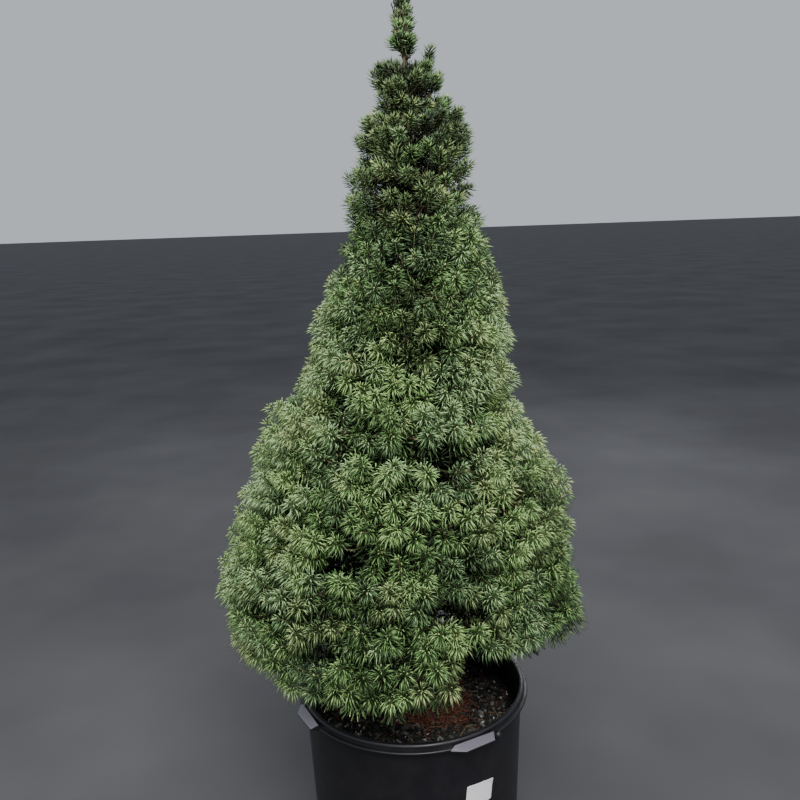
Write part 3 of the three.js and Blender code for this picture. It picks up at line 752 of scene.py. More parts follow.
def list_shoots(mass, spacing, seed, stray=1.0, clearance=0.0, depth=(0, 0), fine=False):
    """Tips and aims over a mass's outer face, in rows and columns that are each a little out of line.

    Fine ones, apart from the leader's, fill the cell up to its edges, so that no groove is left
    between two masses.
    """
    random = seeded_random(seed)
    filling = fine and mass.level < LEADER_LEVEL
    lobe_depth = FINE_LOBE_DEPTH if filling else LOBE_DEPTH
    spread = FINE_SPREAD if filling else 1
    fan = FINE_LIFT_FAN if filling else LIFT_FAN
    tips, aims = [], []
    rows = max(1, math.ceil((mass.high[0] - mass.low[0]) / spacing - ROW_SLACK))
    for row in range(rows):
        row_up = 2 * (row + 0.5) / rows - 1
        columns = max(2, round(2 * mass.half_width * mass.surface(0, row_up) / spacing))
        for column in range(columns):
            shift = (ROW_STAGGER if row % 2 else -ROW_STAGGER) + (random() - 0.5) * STRAY_ACROSS * stray
            across = 2 * (column + 0.5 + shift) / columns - 1
            up = spread * row_up + (random() - 0.5) * STRAY_UP * stray / rows
            reach = SHORTEST_REACH + STRAY_REACH * random()
            sunk = clearance + depth[0] + (depth[1] - depth[0]) * random()
            surface = mass.surface(across, up, lobe_depth)
            tip = mass.point(across, up, max(surface * DEEPEST, surface * reach - sunk))
            lift = math.radians(mass.lift + fan * up + STRAY_LIFT * stray * (random() - 0.5))
            heading = math.atan2(tip.y, tip.x - trunk_x(tip.z))
            heading += math.radians(STRAY_HEADING * stray * (random() - 0.5))
            tips.append(tip)
            aims.append(Vector(compass(heading, lift)))
    return np.array(tips), np.array(aims)


# Foliage

def hollow_places():
    """Middles, directions and radii of the hollows; the photographed ones open towards the camera."""
    random = seeded_random(HOLLOW_SEED)
    hollows = list(HOLLOWS)
    for _ in range(RANDOM_HOLLOWS):
        hollows.append([low + (high - low) * random() for low, high in RANDOM_HOLLOW_RANGES])
    places = []
    for number, (turn, height, radius) in enumerate(hollows):
        angle = math.radians(turn)
        distance = crown_radius(angle, height) - HOLLOW_SINK
        middle = compass(angle, 0) * distance + np.array((trunk_x(height), 0, height))
        if number < len(HOLLOWS):
            outward = unit(np.array(CAMERA_PLACE) - middle)
        else:
            outward = compass(angle, math.radians(HOLLOW_RISE))
        places.append((middle, outward, radius))
    return places


def clear_of_pot(points):
    """Points that stay off the pot's wall, rim and grips, and out of the soil."""
    radius = np.hypot(points[:, 0], points[:, 1])
    height = points[:, 2]
    inner = pot_body_radius(POT_HEIGHT) - POT_WALL - POT_CLEARANCE
    outer = POT_RIM_RADIUS + GRIP_DEPTH + POT_CLEARANCE
    at_wall = (height < POT_HEIGHT + POT_CLEARANCE) & (radius > inner) & (radius < outer)
    at_soil = (height < SOIL_TOP + POT_CLEARANCE) & (radius < outer)
    return ~(at_wall | at_soil)


def fine_shoots(mass, number, layer, sprays, hollows):
    """One layer's shoots: tips, aims, the spray of each, and how near its rim they stand."""
    growth = mass.growth
    seed = 10_000 * (number + 1) + mass.seed
    clearance = NEEDLE_CLEARANCE * growth.clearance
    depth = [growth.depth * end for end in layer.depth]
    spacing = layer.spacing * growth.spacing
    tips, aims = list_shoots(mass, spacing, seed, FINE_STRAY, clearance, depth, fine=True)
    middles, axes, sizes = sprays
    near = (np.linalg.norm(tips[:, None] - middles[None], axis=2) / sizes).argmin(axis=1)
    middle, axis = middles[near], axes[near]
    beside = tips - middle - axis * ((tips - middle) * axis).sum(axis=1, keepdims=True)
    beside /= (SPRAY_SPACING / 2 * sizes[near])[:, None]
    rim = np.minimum(np.linalg.norm(beside, axis=1), SPRAY_RIM)
    if number < DOMED_LAYERS:
        dome = SPRAY_DOME * along(DOME_AT, mass.high[0])
        tips = tips - axis * (dome * rim ** 2)[:, None]
        aims = aims + SPRAY_FAN * beside
        aims[:, 2] += at_heights(TURN_UP_AT, tips)
        aims = unit(aims)
    if number == 0:
        random = np.random.default_rng(seed)
        long = (random.random(len(tips)) < LONG_SHOOTS) & (tips[:, 2] > LONG_SHOOTS_FROM)
        tips = tips + aims * (long * random.uniform(*LONG_SHOOTS_BY, len(tips)))[:, None]
    keep = clear_of_pot(tips)
    if mass.level == CREST_LEVEL:
        bare_from, bare_radius = NECK
        from_trunk = np.hypot(tips[:, 0] - trunk_x(bare_from), tips[:, 1])
        keep &= (tips[:, 2] < bare_from) | (from_trunk > bare_radius)
    if mass.level == LEADER_LEVEL:
        keep &= tips[:, 2] > LEADER_FOOT
        axis_x = at_heights(TRUNK_LEAN, tips)
        width = at_heights(LEADER_WIDTH_AT, tips)
        tips[:, 0] = axis_x + (tips[:, 0] - axis_x) * width
        tips[:, 1] *= width
    for hollow, outward, radius in hollows:
        out = (tips - hollow) @ outward
        beside = np.linalg.norm(tips - hollow - np.outer(out, outward), axis=1)
        keep &= (out < -HOLLOW_DEPTH) | (beside > radius * (1 if number < DOMED_LAYERS else HOLLOW_TAPER))
    return tips[keep], aims[keep], near[keep], rim[keep]


def spray_tone(tips, near, rim, random):
    """How light each shoot is: by height, by painted light and shade on the crown's sides and its lower
    right part, by spray, and by its place in its spray, whose rim gets painted shade.
    """
    x, z = tips[:, 0], tips[:, 2]
    reach = np.maximum(at_heights(CROWN_OUTLINE, tips), NARROWEST)
    # painted light and shade on the crown's sides
    side = np.clip(np.abs(x - CROWN_MIDDLE) / reach - SIDE_START, 0, SIDE_MOST)
    side *= np.where(x < 0, at_heights(LEFT_PAINTED_LIGHT_AT, tips), at_heights(RIGHT_PAINTED_LIGHT_AT, tips))
    spray = random.normal(0, SPRAY_TONES, near.max() + 1)[near]
    for size, strength in PATCHES:
        spray += strength * np.array([ripple(tip, size, PATCH_SEED) for tip in tips])
    tone = at_heights(TONE_AT, tips) + side - SHADE_TONE * fade(x, *SHADE_X) * fade(z, *SHADE_Z)
    # painted shade at each spray's rim
    tone += spray - RIM_PAINTED_SHADE * at_heights(DOME_AT, tips) * rim ** 2
    return tone + random.normal(0, SHOOT_TONES, len(tips))


def needle_slots(tone, hue, share, crowned, layer, random):
    """Material slots of the needles' feet and ends, by the shoot's tone and the needle's place on it."""
    tones = tone[:, None] - layer.shade + CROWNED_TONE * crowned + TIP_TONE[1] * (share > TIP_TONE[0])
    tones += random.normal(0, NEEDLE_TONES, share.shape) - FOOT_TONE[1] * (share < FOOT_TONE[0])
    tones = np.clip(np.round(tones), 0, len(TONES) - 1).astype(int)
    fresh = (random.random((len(tone), 1)) < FRESH_SHARE) & (share > FRESH_FROM) & (layer.shade == 0)
    pair = (np.maximum(tones - 1, 0), tones)  # a needle is darker at its foot
    return [np.where(fresh, FRESH_SLOT, part + hue[:, None] * len(TONES)).ravel() for part in pair]


def shoot_needles(tips, aims, tone, hue, layer, growth, random):
    """Needles all round each shoot, in a spiral, leaning forward more towards its tip."""
    count = layer.needles
    each = (len(tips), count)
    share = np.linspace(FIRST_NEEDLE, 1, count)[None] + random.uniform(-STRAY_PLACE, STRAY_PLACE, each)
    turn = np.arange(count)[None] * GOLDEN_TURN + random.uniform(0, 6.28, (len(tips), 1))
    turn = turn + random.normal(0, STRAY_TURN, each)
    hug = at_heights(HUG_AT, tips)[:, None]
    lean = FOOT_LEAN + hug + TIP_LEAN * share ** 2 + BRUSH_LEAN * past(share, BRUSH)
    lean = np.radians(lean) + random.normal(0, STRAY_LEAN, each)
    reach = layer.length * growth.length * random.uniform(*SHOOT_LENGTHS, (len(tips), 1, 1))
    helper = unit(np.cross(aims, unit(random.normal(size=aims.shape))))
    other = np.cross(aims, helper)
    outward = helper[:, None] * np.cos(turn)[..., None] + other[:, None] * np.sin(turn)[..., None]
    direction = unit(outward * np.cos(lean)[..., None] + aims[:, None] * np.sin(lean)[..., None])
    base = tips[:, None] - aims[:, None] * reach * (1 - share[..., None])
    long = layer.needle * growth.needle * random.uniform(*NEEDLE_LENGTHS, each)
    long = long * (1 - TIP_SHORTER * past(share, TIP_SHORTER_FROM))
    crowned = (random.random((len(tips), 1)) < CROWNED) & (share > CROWNED_FROM)
    long = np.where(crowned, CROWNED_LENGTH * long, long)
    if growth is ORDINARY:
        long = long * at_heights(NEEDLE_SCALE_AT, tips)[:, None]
    droop = at_heights(DROOP_AT, tips)[:, None, None] * np.array([0, 0, 1])
    bend = np.broadcast_to(aims[:, None] * BEND - droop, base.shape)
    width = layer.width * growth.width * random.uniform(*NEEDLE_WIDTHS, each)
    feet, tops = needle_slots(tone, hue, share, crowned, layer, random)
    base, direction, bend = (part.reshape(-1, 3) for part in (base, direction, bend))
    long, width = long.ravel(), width.ravel()
    ends = base + (direction + bend) * long[:, None]
    keep = clear_of_pot(base) & clear_of_pot(ends) & clear_of_pot((base + ends) / 2)
    shapes = [part[keep] for part in (base, direction, bend, long, width)]
    points, faces = needle_bodies(*shapes, layer.faces, random)
    if layer.faces == 4:
        return points, faces, np.repeat(tops[keep], 4)
    return points, faces, np.stack([feet[keep]] * 3 + [tops[keep]] * 3, axis=1).ravel()


def shoot_buds(tips, aims, tone, growth, random):
    """A small pale bud at the tip of each shoot of the outer layer."""
    size = growth.bud * random.uniform(*BUD_SIZES, len(tips))
    base = tips - aims * BUD_SUNK
    points, faces = needle_bodies(base, aims, 0 * base, BUD_LENGTH * size, BUD_WIDTH * size, 6, random)
    light = tone + random.normal(0, 1, len(tips)) > LIGHT_BUD
    return points, faces, np.repeat(BUD_SLOT + light, 6)


def side_sprays(mass, random):
    """The sprays round the main shoots: tips, aims and sizes, scattered over the mass's outer face."""
    tips, aims = list_shoots(mass, SPRAY_SPACING, SPRAY_SEEDS + mass.seed, SPRAY_STRAY, fine=True)
    return tips, aims, random.uniform(*SPRAY_SIZES, len(tips))


def main_twigs(mass, random):
    """The main shoots' twigs, from the mass's stem to the tips of the source."""
    tips, aims = list_shoots(mass, mass.spacing, mass.seed)
    stem = mass.point(0, 0, mass.stem_start())
    hub = mass.point(0, 0, mass.surface(0, 0) * STEM_REACH)
    start = np.array([stem.lerp(hub, rung) for rung in np.linspace(MAIN_TWIG_FOOT, 1, len(tips))])
    far = np.linalg.norm(tips - start, axis=1)[:, None]
    bend = tips - aims * far * MAIN_TWIG_PULL + random.normal(0, MAIN_TWIG_STRAY, tips.shape)
    short = MAIN_TWIG_END if mass.growth is ORDINARY else SLIM_TWIG_END
    return tips, bezier(start, bend, tips - aims * short, MAIN_TWIG_RINGS), stem, hub


def grow_mass(mass, hollows):
    """Needles and twigs of one mass."""
    random = np.random.default_rng(500 + mass.seed)
    growth = mass.growth
    needles = []
    tips, paths, stem, hub = main_twigs(mass, random)
    sprays = side_sprays(mass, random)
    hues = random.choice(len(HUES), len(sprays[0]), p=HUE_SHARES[min(mass.level // 3, 2)])
    twigs = [twig_tubes(paths, MAIN_TWIG_RADII, growth.main_twig, sides=5)]
    if growth is ORDINARY:
        path = np.array([[stem.lerp(hub, share) for share in STEM_SHARES]])
        twigs.append((*tubes(path, np.linspace(*STEM_RADII, len(STEM_SHARES))[None], 7), 0))
    layers = LAYERS[:LEADER_LAYERS] if mass.level == LEADER_LEVEL else LAYERS
    for number, layer in enumerate(layers):
        fine_tips, fine_aims, near, rim = fine_shoots(mass, number, layer, sprays, hollows)
        count = len(fine_tips)
        if count == 0:
            continue
        tone = spray_tone(fine_tips, near, rim, random)
        own = random.random(count) < OWN_HUES
        hue = np.where(own, random.choice(hues, count), hues[near])
        needles.append(shoot_needles(fine_tips, fine_aims, tone, hue, layer, growth, random))
        if number == 0:
            needles.append(shoot_buds(fine_tips, fine_aims, tone, growth, random))
        twig = np.linalg.norm(fine_tips[:, None] - tips[None], axis=2).argmin(axis=1)
        root = paths[twig, random.integers(*FINE_TWIG_ROOTS, count)]
        knee = fine_tips - fine_aims * layer.length * FINE_TWIG_KNEE
        straw = random.random(count) < STRAW_TWIGS
        fine_paths = bezier(root, knee, fine_tips, rings=5)
        twigs.append(twig_tubes(fine_paths, FINE_TWIG_RADII, growth.fine_twig, sides=3, straw=straw))
    return needles, twigs


def twig_tubes(paths, radii, scale, sides, straw=False):
    """Brown or straw-coloured twigs along paths, whose outer half is green."""
    count, rings, _ = paths.shape
    straw = np.broadcast_to(straw, count)
    points, faces = tubes(paths, np.tile(scale * np.linspace(*radii, rings), (count, 1)), sides)
    slots = np.repeat(straw.astype(int), len(faces) // count).reshape(count, -1)
    slots[:, slots.shape[1] // 2:] = 2
    return points, faces, slots.ravel()


def single_shoots():
    """The shoots that stand out of the crown one by one, with their twigs."""
    random = np.random.default_rng(SINGLE_SEED)
    tips = np.array([(x, random.uniform(-SINGLE_DEPTH, SINGLE_DEPTH), z) for x, z in SINGLE_SHOOTS])
    count = len(tips)
    heading = np.arctan2(tips[:, 1], tips[:, 0] - trunk_x(SINGLE_AXIS))
    aims = compass(heading, np.radians(SINGLE_RISE + random.normal(0, SINGLE_STRAY_RISE, count)))
    tone = at_heights(TONE_AT, tips) + random.normal(0, SINGLE_TONES, count)
    hue = random.integers(0, len(HUES), count)
    needles = [shoot_needles(tips, aims, tone, hue, LAYERS[0], SLIM, random)]
    needles.append(shoot_buds(tips, aims, tone, SLIM, random))
    root = np.array([(trunk_x(z - SINGLE_DROP), 0, z - SINGLE_DROP) for z in tips[:, 2]])
    paths = bezier(root, tips - aims * SINGLE_KNEE, tips, rings=7)
    return needles, twig_tubes(paths, SINGLE_TWIG_RADII, scale=1, sides=4)


def needle_materials():
    """One material for each tone of each hue, then those of the fresh needles and the buds."""
    made = []
    for hue in HUES:
        for tone in TONES:
            colour = [share * part for share, part in zip(hue, tone)]
            made.append(new_material(f"needles_{len(made) + 1}", colour, 0.42, 0.4))
    made.append(new_material("needles_fresh", FRESH, 0.45, 0.5))
    return made + [new_material(f"bud_{number + 1}", colour, 0.5, 0.4) for number, colour in enumerate(BUDS)]


def twig_materials():
    return [new_material("twig_brown", (0.050, 0.033, 0.021), 0.8, 0.3),
            new_material("twig_straw", (0.22, 0.165, 0.09), 0.7, 0.3),
            new_material("twig_green", (0.085, 0.10, 0.036), 0.6, 0.4)]


def make_foliage(masses):
    """All needles, in pieces of whole masses, and all twigs."""
    hollows = hollow_places()
    needles, single_twigs = single_shoots()
    twigs, batches = [single_twigs], [(needles, [])]
    filled = 0
    for mass in masses:
        needles, mass_twigs = grow_mass(mass, hollows)
        count = sum(len(part[1]) for part in needles)
        if filled + count > MOST_FACES:
            batches.append(([], []))
            filled = 0
        batches[-1][0].extend(needles)
        batches[-1][1].append(f"foliage_{mass.label}")
        filled += count
        twigs += mass_twigs
    materials = needle_materials()
    for number, (parts, nodes) in enumerate(batches):
        points, faces, slots = join_arrays(parts)
        place(mesh_object(f"needles_{number + 1}", points, faces, materials, slots), "needles", *nodes)
    points, faces, slots = join_arrays(twigs)
    place(mesh_object("twigs", points, faces, twig_materials(), slots), "bark")


# Trunk and boughs

def limb_rings(centres, radii, sides, relief, seed):
    """A closed limb whose bark goes in and out in long furrows."""
    centres = np.array(centres)
    width, slimness = FURROWS
    points, faces = tubes(centres[None], np.array(radii)[None], sides)
    for index, point in enumerate(points):
        centre = centres[index // sides]
        furrow = ripple((point[0], point[1], point[2] * slimness), width, seed)
        furrow += 0.6 * ripple(point, 9, seed + 1)
        points[index] = centre + (point - centre) * (1 + relief * furrow)
    return points, faces


def trunk_body():
    """The trunk, with lobes at its root flare."""
    low, high = np.linspace(TRUNK_FOOT, FLARE_END, 30), np.linspace(FLARE_END + 6, TRUNK_TOP, 150)
    heights = np.concatenate([low, high])
    centres = [(trunk_x(z), 0, z) for z in heights]
    points, faces = limb_rings(centres, [trunk_radius(z) for z in heights], TRUNK_SIDES, TRUNK_RELIEF, 1)
    for index, point in enumerate(points):
        height = heights[index // TRUNK_SIDES]
        swell = ROOT_LOBE_DEPTH * math.exp((TRUNK_FOOT - height) / ROOT_FLARE_HEIGHT)
        x = point[0] - trunk_x(height)
        factor = 1 + swell * math.cos(ROOT_LOBES * math.atan2(point[1], x))
        points[index] = (trunk_x(height) + x * factor, point[1] * factor, max(point[2], TRUNK_FOOT))
    return points, faces, 0


def bough_body(mass):
    start, end = mass.point(0, 0, 0), mass.point(0, 0, mass.stem_start())
    centres = [start.lerp(end, share) for share in np.linspace(0, 1, BOUGH_RINGS)]
    radii = np.linspace(BOUGH_RADIUS, BOUGH_TIP_RADIUS, BOUGH_RINGS)
    return (*limb_rings(centres, radii, BOUGH_SIDES, BOUGH_RELIEF, mass.seed + 2), 0)


def make_limbs(masses):
    """Trunk and boughs with the bark's relief."""
    with_bough = [mass for mass in masses if mass.boughs]
    points, faces, slots = join_arrays([trunk_body(), *[bough_body(mass) for mass in with_bough]])
    limbs = mesh_object("limbs", points, faces, [bark_material()], slots)
    place(limbs, "bark", "trunk", *[f"bough_{mass.label}" for mass in with_bough])


# The pot

def circle(radius, height, segments):
    """Points round the axis."""
    turns = [2 * math.pi * segment / segments for segment in range(segments)]
    return [(math.cos(turn) * radius, math.sin(turn) * radius, height) for turn in turns]


def lathe(name, profile, segments, material):
    """A turned body from (radius, height) points; the first and the last lie on the axis."""
    points = []
    for radius, height in profile[1:-1]:
        points += circle(radius, height, segments)
    points += [(0, 0, profile[0][1]), (0, 0, profile[-1][1])]
    last = (len(profile) - 3) * segments
    faces = []
    for segment in range(segments):
        after = (segment + 1) % segments
        faces.append((last + segments, after, segment))
        faces.append((last + segments + 1, last + segment, last + after))
        for ring in range(0, last, segments):
            a, b = ring + segment, ring + after
            faces.append((a, b, b + segments, a + segments))
    mesh = bpy.data.meshes.new(name)
    mesh.from_pydata([tuple(MM * value for value in point) for point in points], [], faces)
    mesh.materials.append(material)
    piece = link(bpy.data.objects.new(name, mesh))
    shade_smooth(piece, sharp=32)
    return piece


def arc(middle, radius, start, end, steps):
    """Points of an arc in the profile's plane, by angles in degrees."""
    points = []
    for turn in np.radians(np.linspace(start, end, steps)):
        points.append((middle[0] + radius * math.cos(turn), middle[1] + radius * math.sin(turn)))
    return points


def apply_modifiers(piece):
    bpy.context.view_layer.objects.active = piece
    for modifier in list(piece.modifiers):
        bpy.ops.object.modifier_apply(modifier=modifier.name)


def pot_profile():
    """The pot's section: rounded foot, tapered wall, turned-over rim with a bead and a lower lip."""
    band = POT_HEIGHT - POT_RIM_BAND
    inner_top = pot_body_radius(POT_HEIGHT) - POT_WALL
    wall_heights = np.linspace(10, band, 14)
    inner_heights = np.linspace(POT_HEIGHT - 8, POT_FLOOR + 2, 14)
    ring_inside, ring_edge = (POT_FOOT_RADIUS - width for width in FOOT_RING)
    profile = [(0, FOOT_RAISED), (ring_inside, FOOT_RAISED), (ring_edge, 0)]
    profile += arc((POT_FOOT_RADIUS - POT_FOOT_BEVEL, POT_FOOT_BEVEL), POT_FOOT_BEVEL, -90, 0, 5)
    profile += [(pot_body_radius(z), z) for z in wall_heights]
    profile += arc((POT_RIM_RADIUS - RIM_LIP, band + RIM_LIP), RIM_LIP, -90, 80, 8)
    profile.append((RIM_TOP_RADIUS + RIM_WAIST[0], band + RIM_WAIST[1]))
    profile.append((RIM_TOP_RADIUS, POT_HEIGHT - RIM_BEAD - 1))
    profile += arc((RIM_TOP_RADIUS - RIM_BEAD, POT_HEIGHT - RIM_BEAD), RIM_BEAD, 0, 90, 9)
    profile += arc((inner_top + RIM_INNER_EDGE, POT_HEIGHT - RIM_INNER_EDGE), RIM_INNER_EDGE, 90, 180, 5)
    profile += [(pot_body_radius(z) - POT_WALL, z) for z in inner_heights]
    profile += [(pot_body_radius(POT_FLOOR) - POT_WALL - 2, POT_FLOOR), (0, POT_FLOOR)]
    return profile


def drill_holes(pot):
    """Drain holes through the wall, just above the floor."""
    cutters = bmesh.new()
    radius = DRAIN_RADIUS * MM
    middle = Vector((POT_FOOT_RADIUS, 0, POT_FLOOR + DRAIN_LIFT + DRAIN_RADIUS)) * MM
    spot = Matrix.Translation(middle) @ Matrix.Rotation(math.pi / 2, 4, "Y")
    for hole in range(DRAIN_HOLES):
        turn = Matrix.Rotation(2 * math.pi * hole / DRAIN_HOLES, 4, "Z")
        bmesh.ops.create_cone(cutters, cap_ends=True, segments=28, radius1=radius, radius2=radius,
                              depth=20 * MM, matrix=turn @ spot)
    cutter = body_object("drain_cutters", cutters)
    cut = pot.modifiers.new("holes", "BOOLEAN")
    cut.operation = "DIFFERENCE"
    cut.object = cutter
    cut.solver = "EXACT"
    apply_modifiers(pot)
    bpy.data.objects.remove(cutter)


def make_grips(plastic):
    """Four ledges that slope down from the rim, each with one long end and a top with a painted reflection
    of the sky, painted lighter still on every other grip.
    """
    body = bmesh.new()
    foot = POT_HEIGHT - POT_RIM_BAND
    for grip in range(4):
        spin = Matrix.Rotation(math.radians(GRIP_TURN + 90 * grip), 4, "Z")
        top = [body.verts.new(spin @ Vector((x, y, foot + z)) * MM) for x, y, z in GRIP_TOP]
        bottom = [body.verts.new(spin @ Vector((x, y, foot)) * MM) for x, y, _ in GRIP_TOP]
        # the tops take the painted reflection, with painted light on every other grip
        body.faces.new(top).material_index = 1 + grip % 2
        body.faces.new(bottom[::-1])
        for corner in range(len(top)):
            after = (corner + 1) % len(top)
            body.faces.new((top[after], top[corner], bottom[corner], bottom[after]))
    bmesh.ops.recalc_face_normals(body, faces=body.faces)
    # painted reflection of the sky on the grips' tops, and a lighter copy of it as painted light
    painted_reflection = new_material("grip_top_painted_reflection", (0.135, 0.127, 0.156), 0.5)
    pale = new_material("grip_top_painted_light", (0.29, 0.275, 0.32), 0.5)
    grips = body_object("pot_grips", body, [plastic, painted_reflection, pale])
    bevel = grips.modifiers.new("edges", "BEVEL")
    bevel.width = GRIP_BEVEL * MM
    bevel.segments = 3
    apply_modifiers(grips)
    shade_smooth(grips, sharp=40)
    place(grips, "pot")


def make_knobs(plastic):
    """A rounded knob at the right end of two grips that face each other."""
    body = bmesh.new()
    spot = Matrix.Translation(Vector(KNOB_PLACE) * MM)
    shape = Matrix.Diagonal((*[radius * MM for radius in KNOB_RADII], 1))
    for grip in (0, 2):
        spin = Matrix.Rotation(math.radians(GRIP_TURN + 90 * grip), 4, "Z")
        bmesh.ops.create_uvsphere(body, u_segments=20, v_segments=14, radius=1, matrix=spin @ spot @ shape)
    knobs = body_object("pot_knobs", body, [plastic])
    shade_smooth(knobs)
    place(knobs, "pot")


def make_pot():
    plastic = plastic_material()
    pot = lathe("pot_body", pot_profile(), 160, plastic)
    drill_holes(pot)
    place(pot, "pot", "pot")
    make_grips(plastic)
    make_knobs(plastic)


def label_point(u, v, lift):
    """A place on the sheet, by its distance along and up it and above the sheet's back."""
    peel = PEEL * max(0, u / LABEL_WIDTH + v / LABEL_HEIGHT - PEEL_START)
    wave = LABEL_WAVE * (1 + ripple((u, v, 0), scale=14, seed=5))
    turned = Matrix.Rotation(math.radians(LABEL_TILT), 2) @ Vector((u, v - LABEL_HEIGHT / 2))
    height = LABEL_MIDDLE + turned.y
    radius = pot_body_radius(height) + GAP + lift + peel + wave
    angle = math.radians(LABEL_TURN) + turned.x / POT_BODY_RADIUS
    return math.cos(angle) * radius, math.sin(angle) * radius, height


def make_label():
    """A thin sheet with round corners, bent round the pot and lifting a little at one corner."""
    columns, rows = 28, 36
    points = []
    for lift in (0, LABEL_THICKNESS):
        for v in (LABEL_HEIGHT * row / rows for row in range(rows + 1)):
            near = min(v, LABEL_HEIGHT - v, LABEL_CORNER)
            inset = LABEL_CORNER - math.sqrt(LABEL_CORNER ** 2 - (LABEL_CORNER - near) ** 2)
            for column in range(columns + 1):
                points.append(label_point((column / columns - 0.5) * (LABEL_WIDTH - 2 * inset), v, lift))
    wide = columns + 1
    layer = wide * (rows + 1)
    faces = []
    for row in range(rows):
        for column in range(columns):
            a = row * wide + column
            b, c, d = a + 1, a + 1 + wide, a + wide
            faces += [(d, c, b), (d, b, a)]
            faces += [(a + layer, b + layer, c + layer), (a + layer, c + layer, d + layer)]
    right = range(2 * wide - 1, layer, wide)
    top = range(layer - 2, layer - wide - 1, -1)
    left = range(layer - 2 * wide, 0, -wide)
    rim = [*range(wide), *right, *top, *left]
    for a, b in zip(rim, rim[1:] + rim[:1]):
        faces += [(a, b, b + layer), (a, b + layer, a + layer)]
    place(mesh_object("label_sheet", points, faces, [paper_material()]), "label", "label")


# The soil

def soil_height(x, y):
    """The compost's top: it sags towards the wall and has crumbs and small hollows."""
    radius = math.hypot(x, y)
    sag = SOIL_SAG * max(0, radius / pot_body_radius(SOIL_TOP) - SAG_START) / (1 - SAG_START)
    relief = sum(height * ripple((x, y, 0), size, seed) for height, size, seed in SOIL_RELIEF)
    return SOIL_TOP - sag + relief * (1 - math.exp(-radius / SOIL_CALM))


def make_soil():
    """The compost, with bark flakes, pale grit, dead needles and straw on it."""
    rings, segments = 72, 200
    wall = pot_body_radius(SOIL_TOP) - POT_WALL - GAP
    foot = POT_FLOOR + GAP
    points = [(0, 0, soil_height(0, 0))]
    for ring in range(1, rings + 1):
        points += [(x, y, soil_height(x, y)) for x, y, _ in circle(wall * ring / rings, 0, segments)]
    points += circle(pot_body_radius(foot) - POT_WALL - 3, foot, segments)
    points.append((0, 0, foot))
    edge = 1 + rings * segments  # the first point of the foot's ring
    faces = []
    for segment in range(segments):
        after = (segment + 1) % segments
        faces.append((0, 1 + segment, 1 + after))
        for ring in range(1, edge, segments):
            a, b = ring + segment, ring + after
            faces += [(a, a + segments, b + segments), (a, b + segments, b)]
        faces.append((edge + segment, len(points) - 1, edge + after))
    place(mesh_object("compost", points, faces, [soil_material()]), "soil", "soil")
    random = np.random.default_rng(LITTER_SEED)
    for make_litter in (make_bark_flakes, make_grit, make_dead_needles, make_straw):
        make_litter(wall, random)


def settle(points, lift):
    """Puts points at a height above the compost."""
    for point in points:
        point[2] = soil_height(point[0], point[1]) + lift
    return points


def scattered(count, wall, random, lift):
    """Places on the compost, evenly over its area."""
    radius = np.sqrt(random.uniform(LITTER_INNER ** 2, wall ** 2, count))
    turn = random.uniform(0, 2 * math.pi, count)
    return settle(np.stack([radius * np.cos(turn), radius * np.sin(turn), 0 * turn], axis=1), lift)


def flat_directions(count, random, tilt):
    return compass(random.uniform(0, 2 * math.pi, count), random.normal(0, tilt, count))


def make_chips(name, materials, spots, sizes, tilt, shares, random):
    """Irregular flat chips: boxes of 12 triangles with every corner moved."""
    count = len(spots)
    first = flat_directions(count, random, tilt)
    second = unit(np.cross(random.normal(0, tilt, (count, 3)) + [0, 0, 1], first))
    axes = (first, second, np.cross(first, second))
    corners = np.array([(x, y, z) for x in (-1, 1) for y in (-1, 1) for z in (-1, 1)])
    shaped = corners[None] * sizes[:, None] / 2 * random.uniform(0.55, 1.1, (count, 8, 3))
    points = spots[:, None] + sum(shaped[..., i:i + 1] * axis[:, None] for i, axis in enumerate(axes))
    pattern = [(0, 1, 3), (0, 3, 2), (4, 6, 7), (4, 7, 5), (0, 4, 5), (0, 5, 1), (2, 3, 7), (2, 7, 6),
               (0, 2, 6), (0, 6, 4), (1, 5, 7), (1, 7, 3)]
    faces = repeat_faces(pattern, count, 8)
    slots = np.repeat(random.choice(len(shares), count, p=shares), 12) if len(shares) > 1 else None
    place(mesh_object(name, points.reshape(-1, 3), faces, materials, slots, smooth=False), "soil")


def make_bark_flakes(wall, random):
    count = 3400
    browns = [(0.016, 0.018, 0.016), (0.044, 0.049, 0.043), (0.090, 0.088, 0.078), (0.185, 0.172, 0.150)]
    materials = [new_material(f"flake_{i + 1}", tone, 0.9, 0.25) for i, tone in enumerate(browns)]
    spots = scattered(count, wall - 10, random, lift=0.6)
    long = random.gamma(3.2, 2.0, count).clip(2, 17)
    wide = long * random.uniform(0.3, 0.75, count)
    sizes = np.stack([long, wide, random.uniform(0.8, 2.4, count)], axis=1)
    make_chips("bark_flakes", materials, spots, sizes, tilt=0.35, shares=[0.34, 0.36, 0.2, 0.1],
               random=random)


def make_grit(wall, random):
    count = 150
    spots = scattered(count, wall - 5, random, lift=1.4)
    sizes = random.uniform(1.2, 3.4, (count, 3))
    pale = new_material("grit_white", (0.62, 0.60, 0.56), 0.8, 0.4)
    make_chips("grit", [pale], spots, sizes, tilt=1.0, shares=[1], random=random)


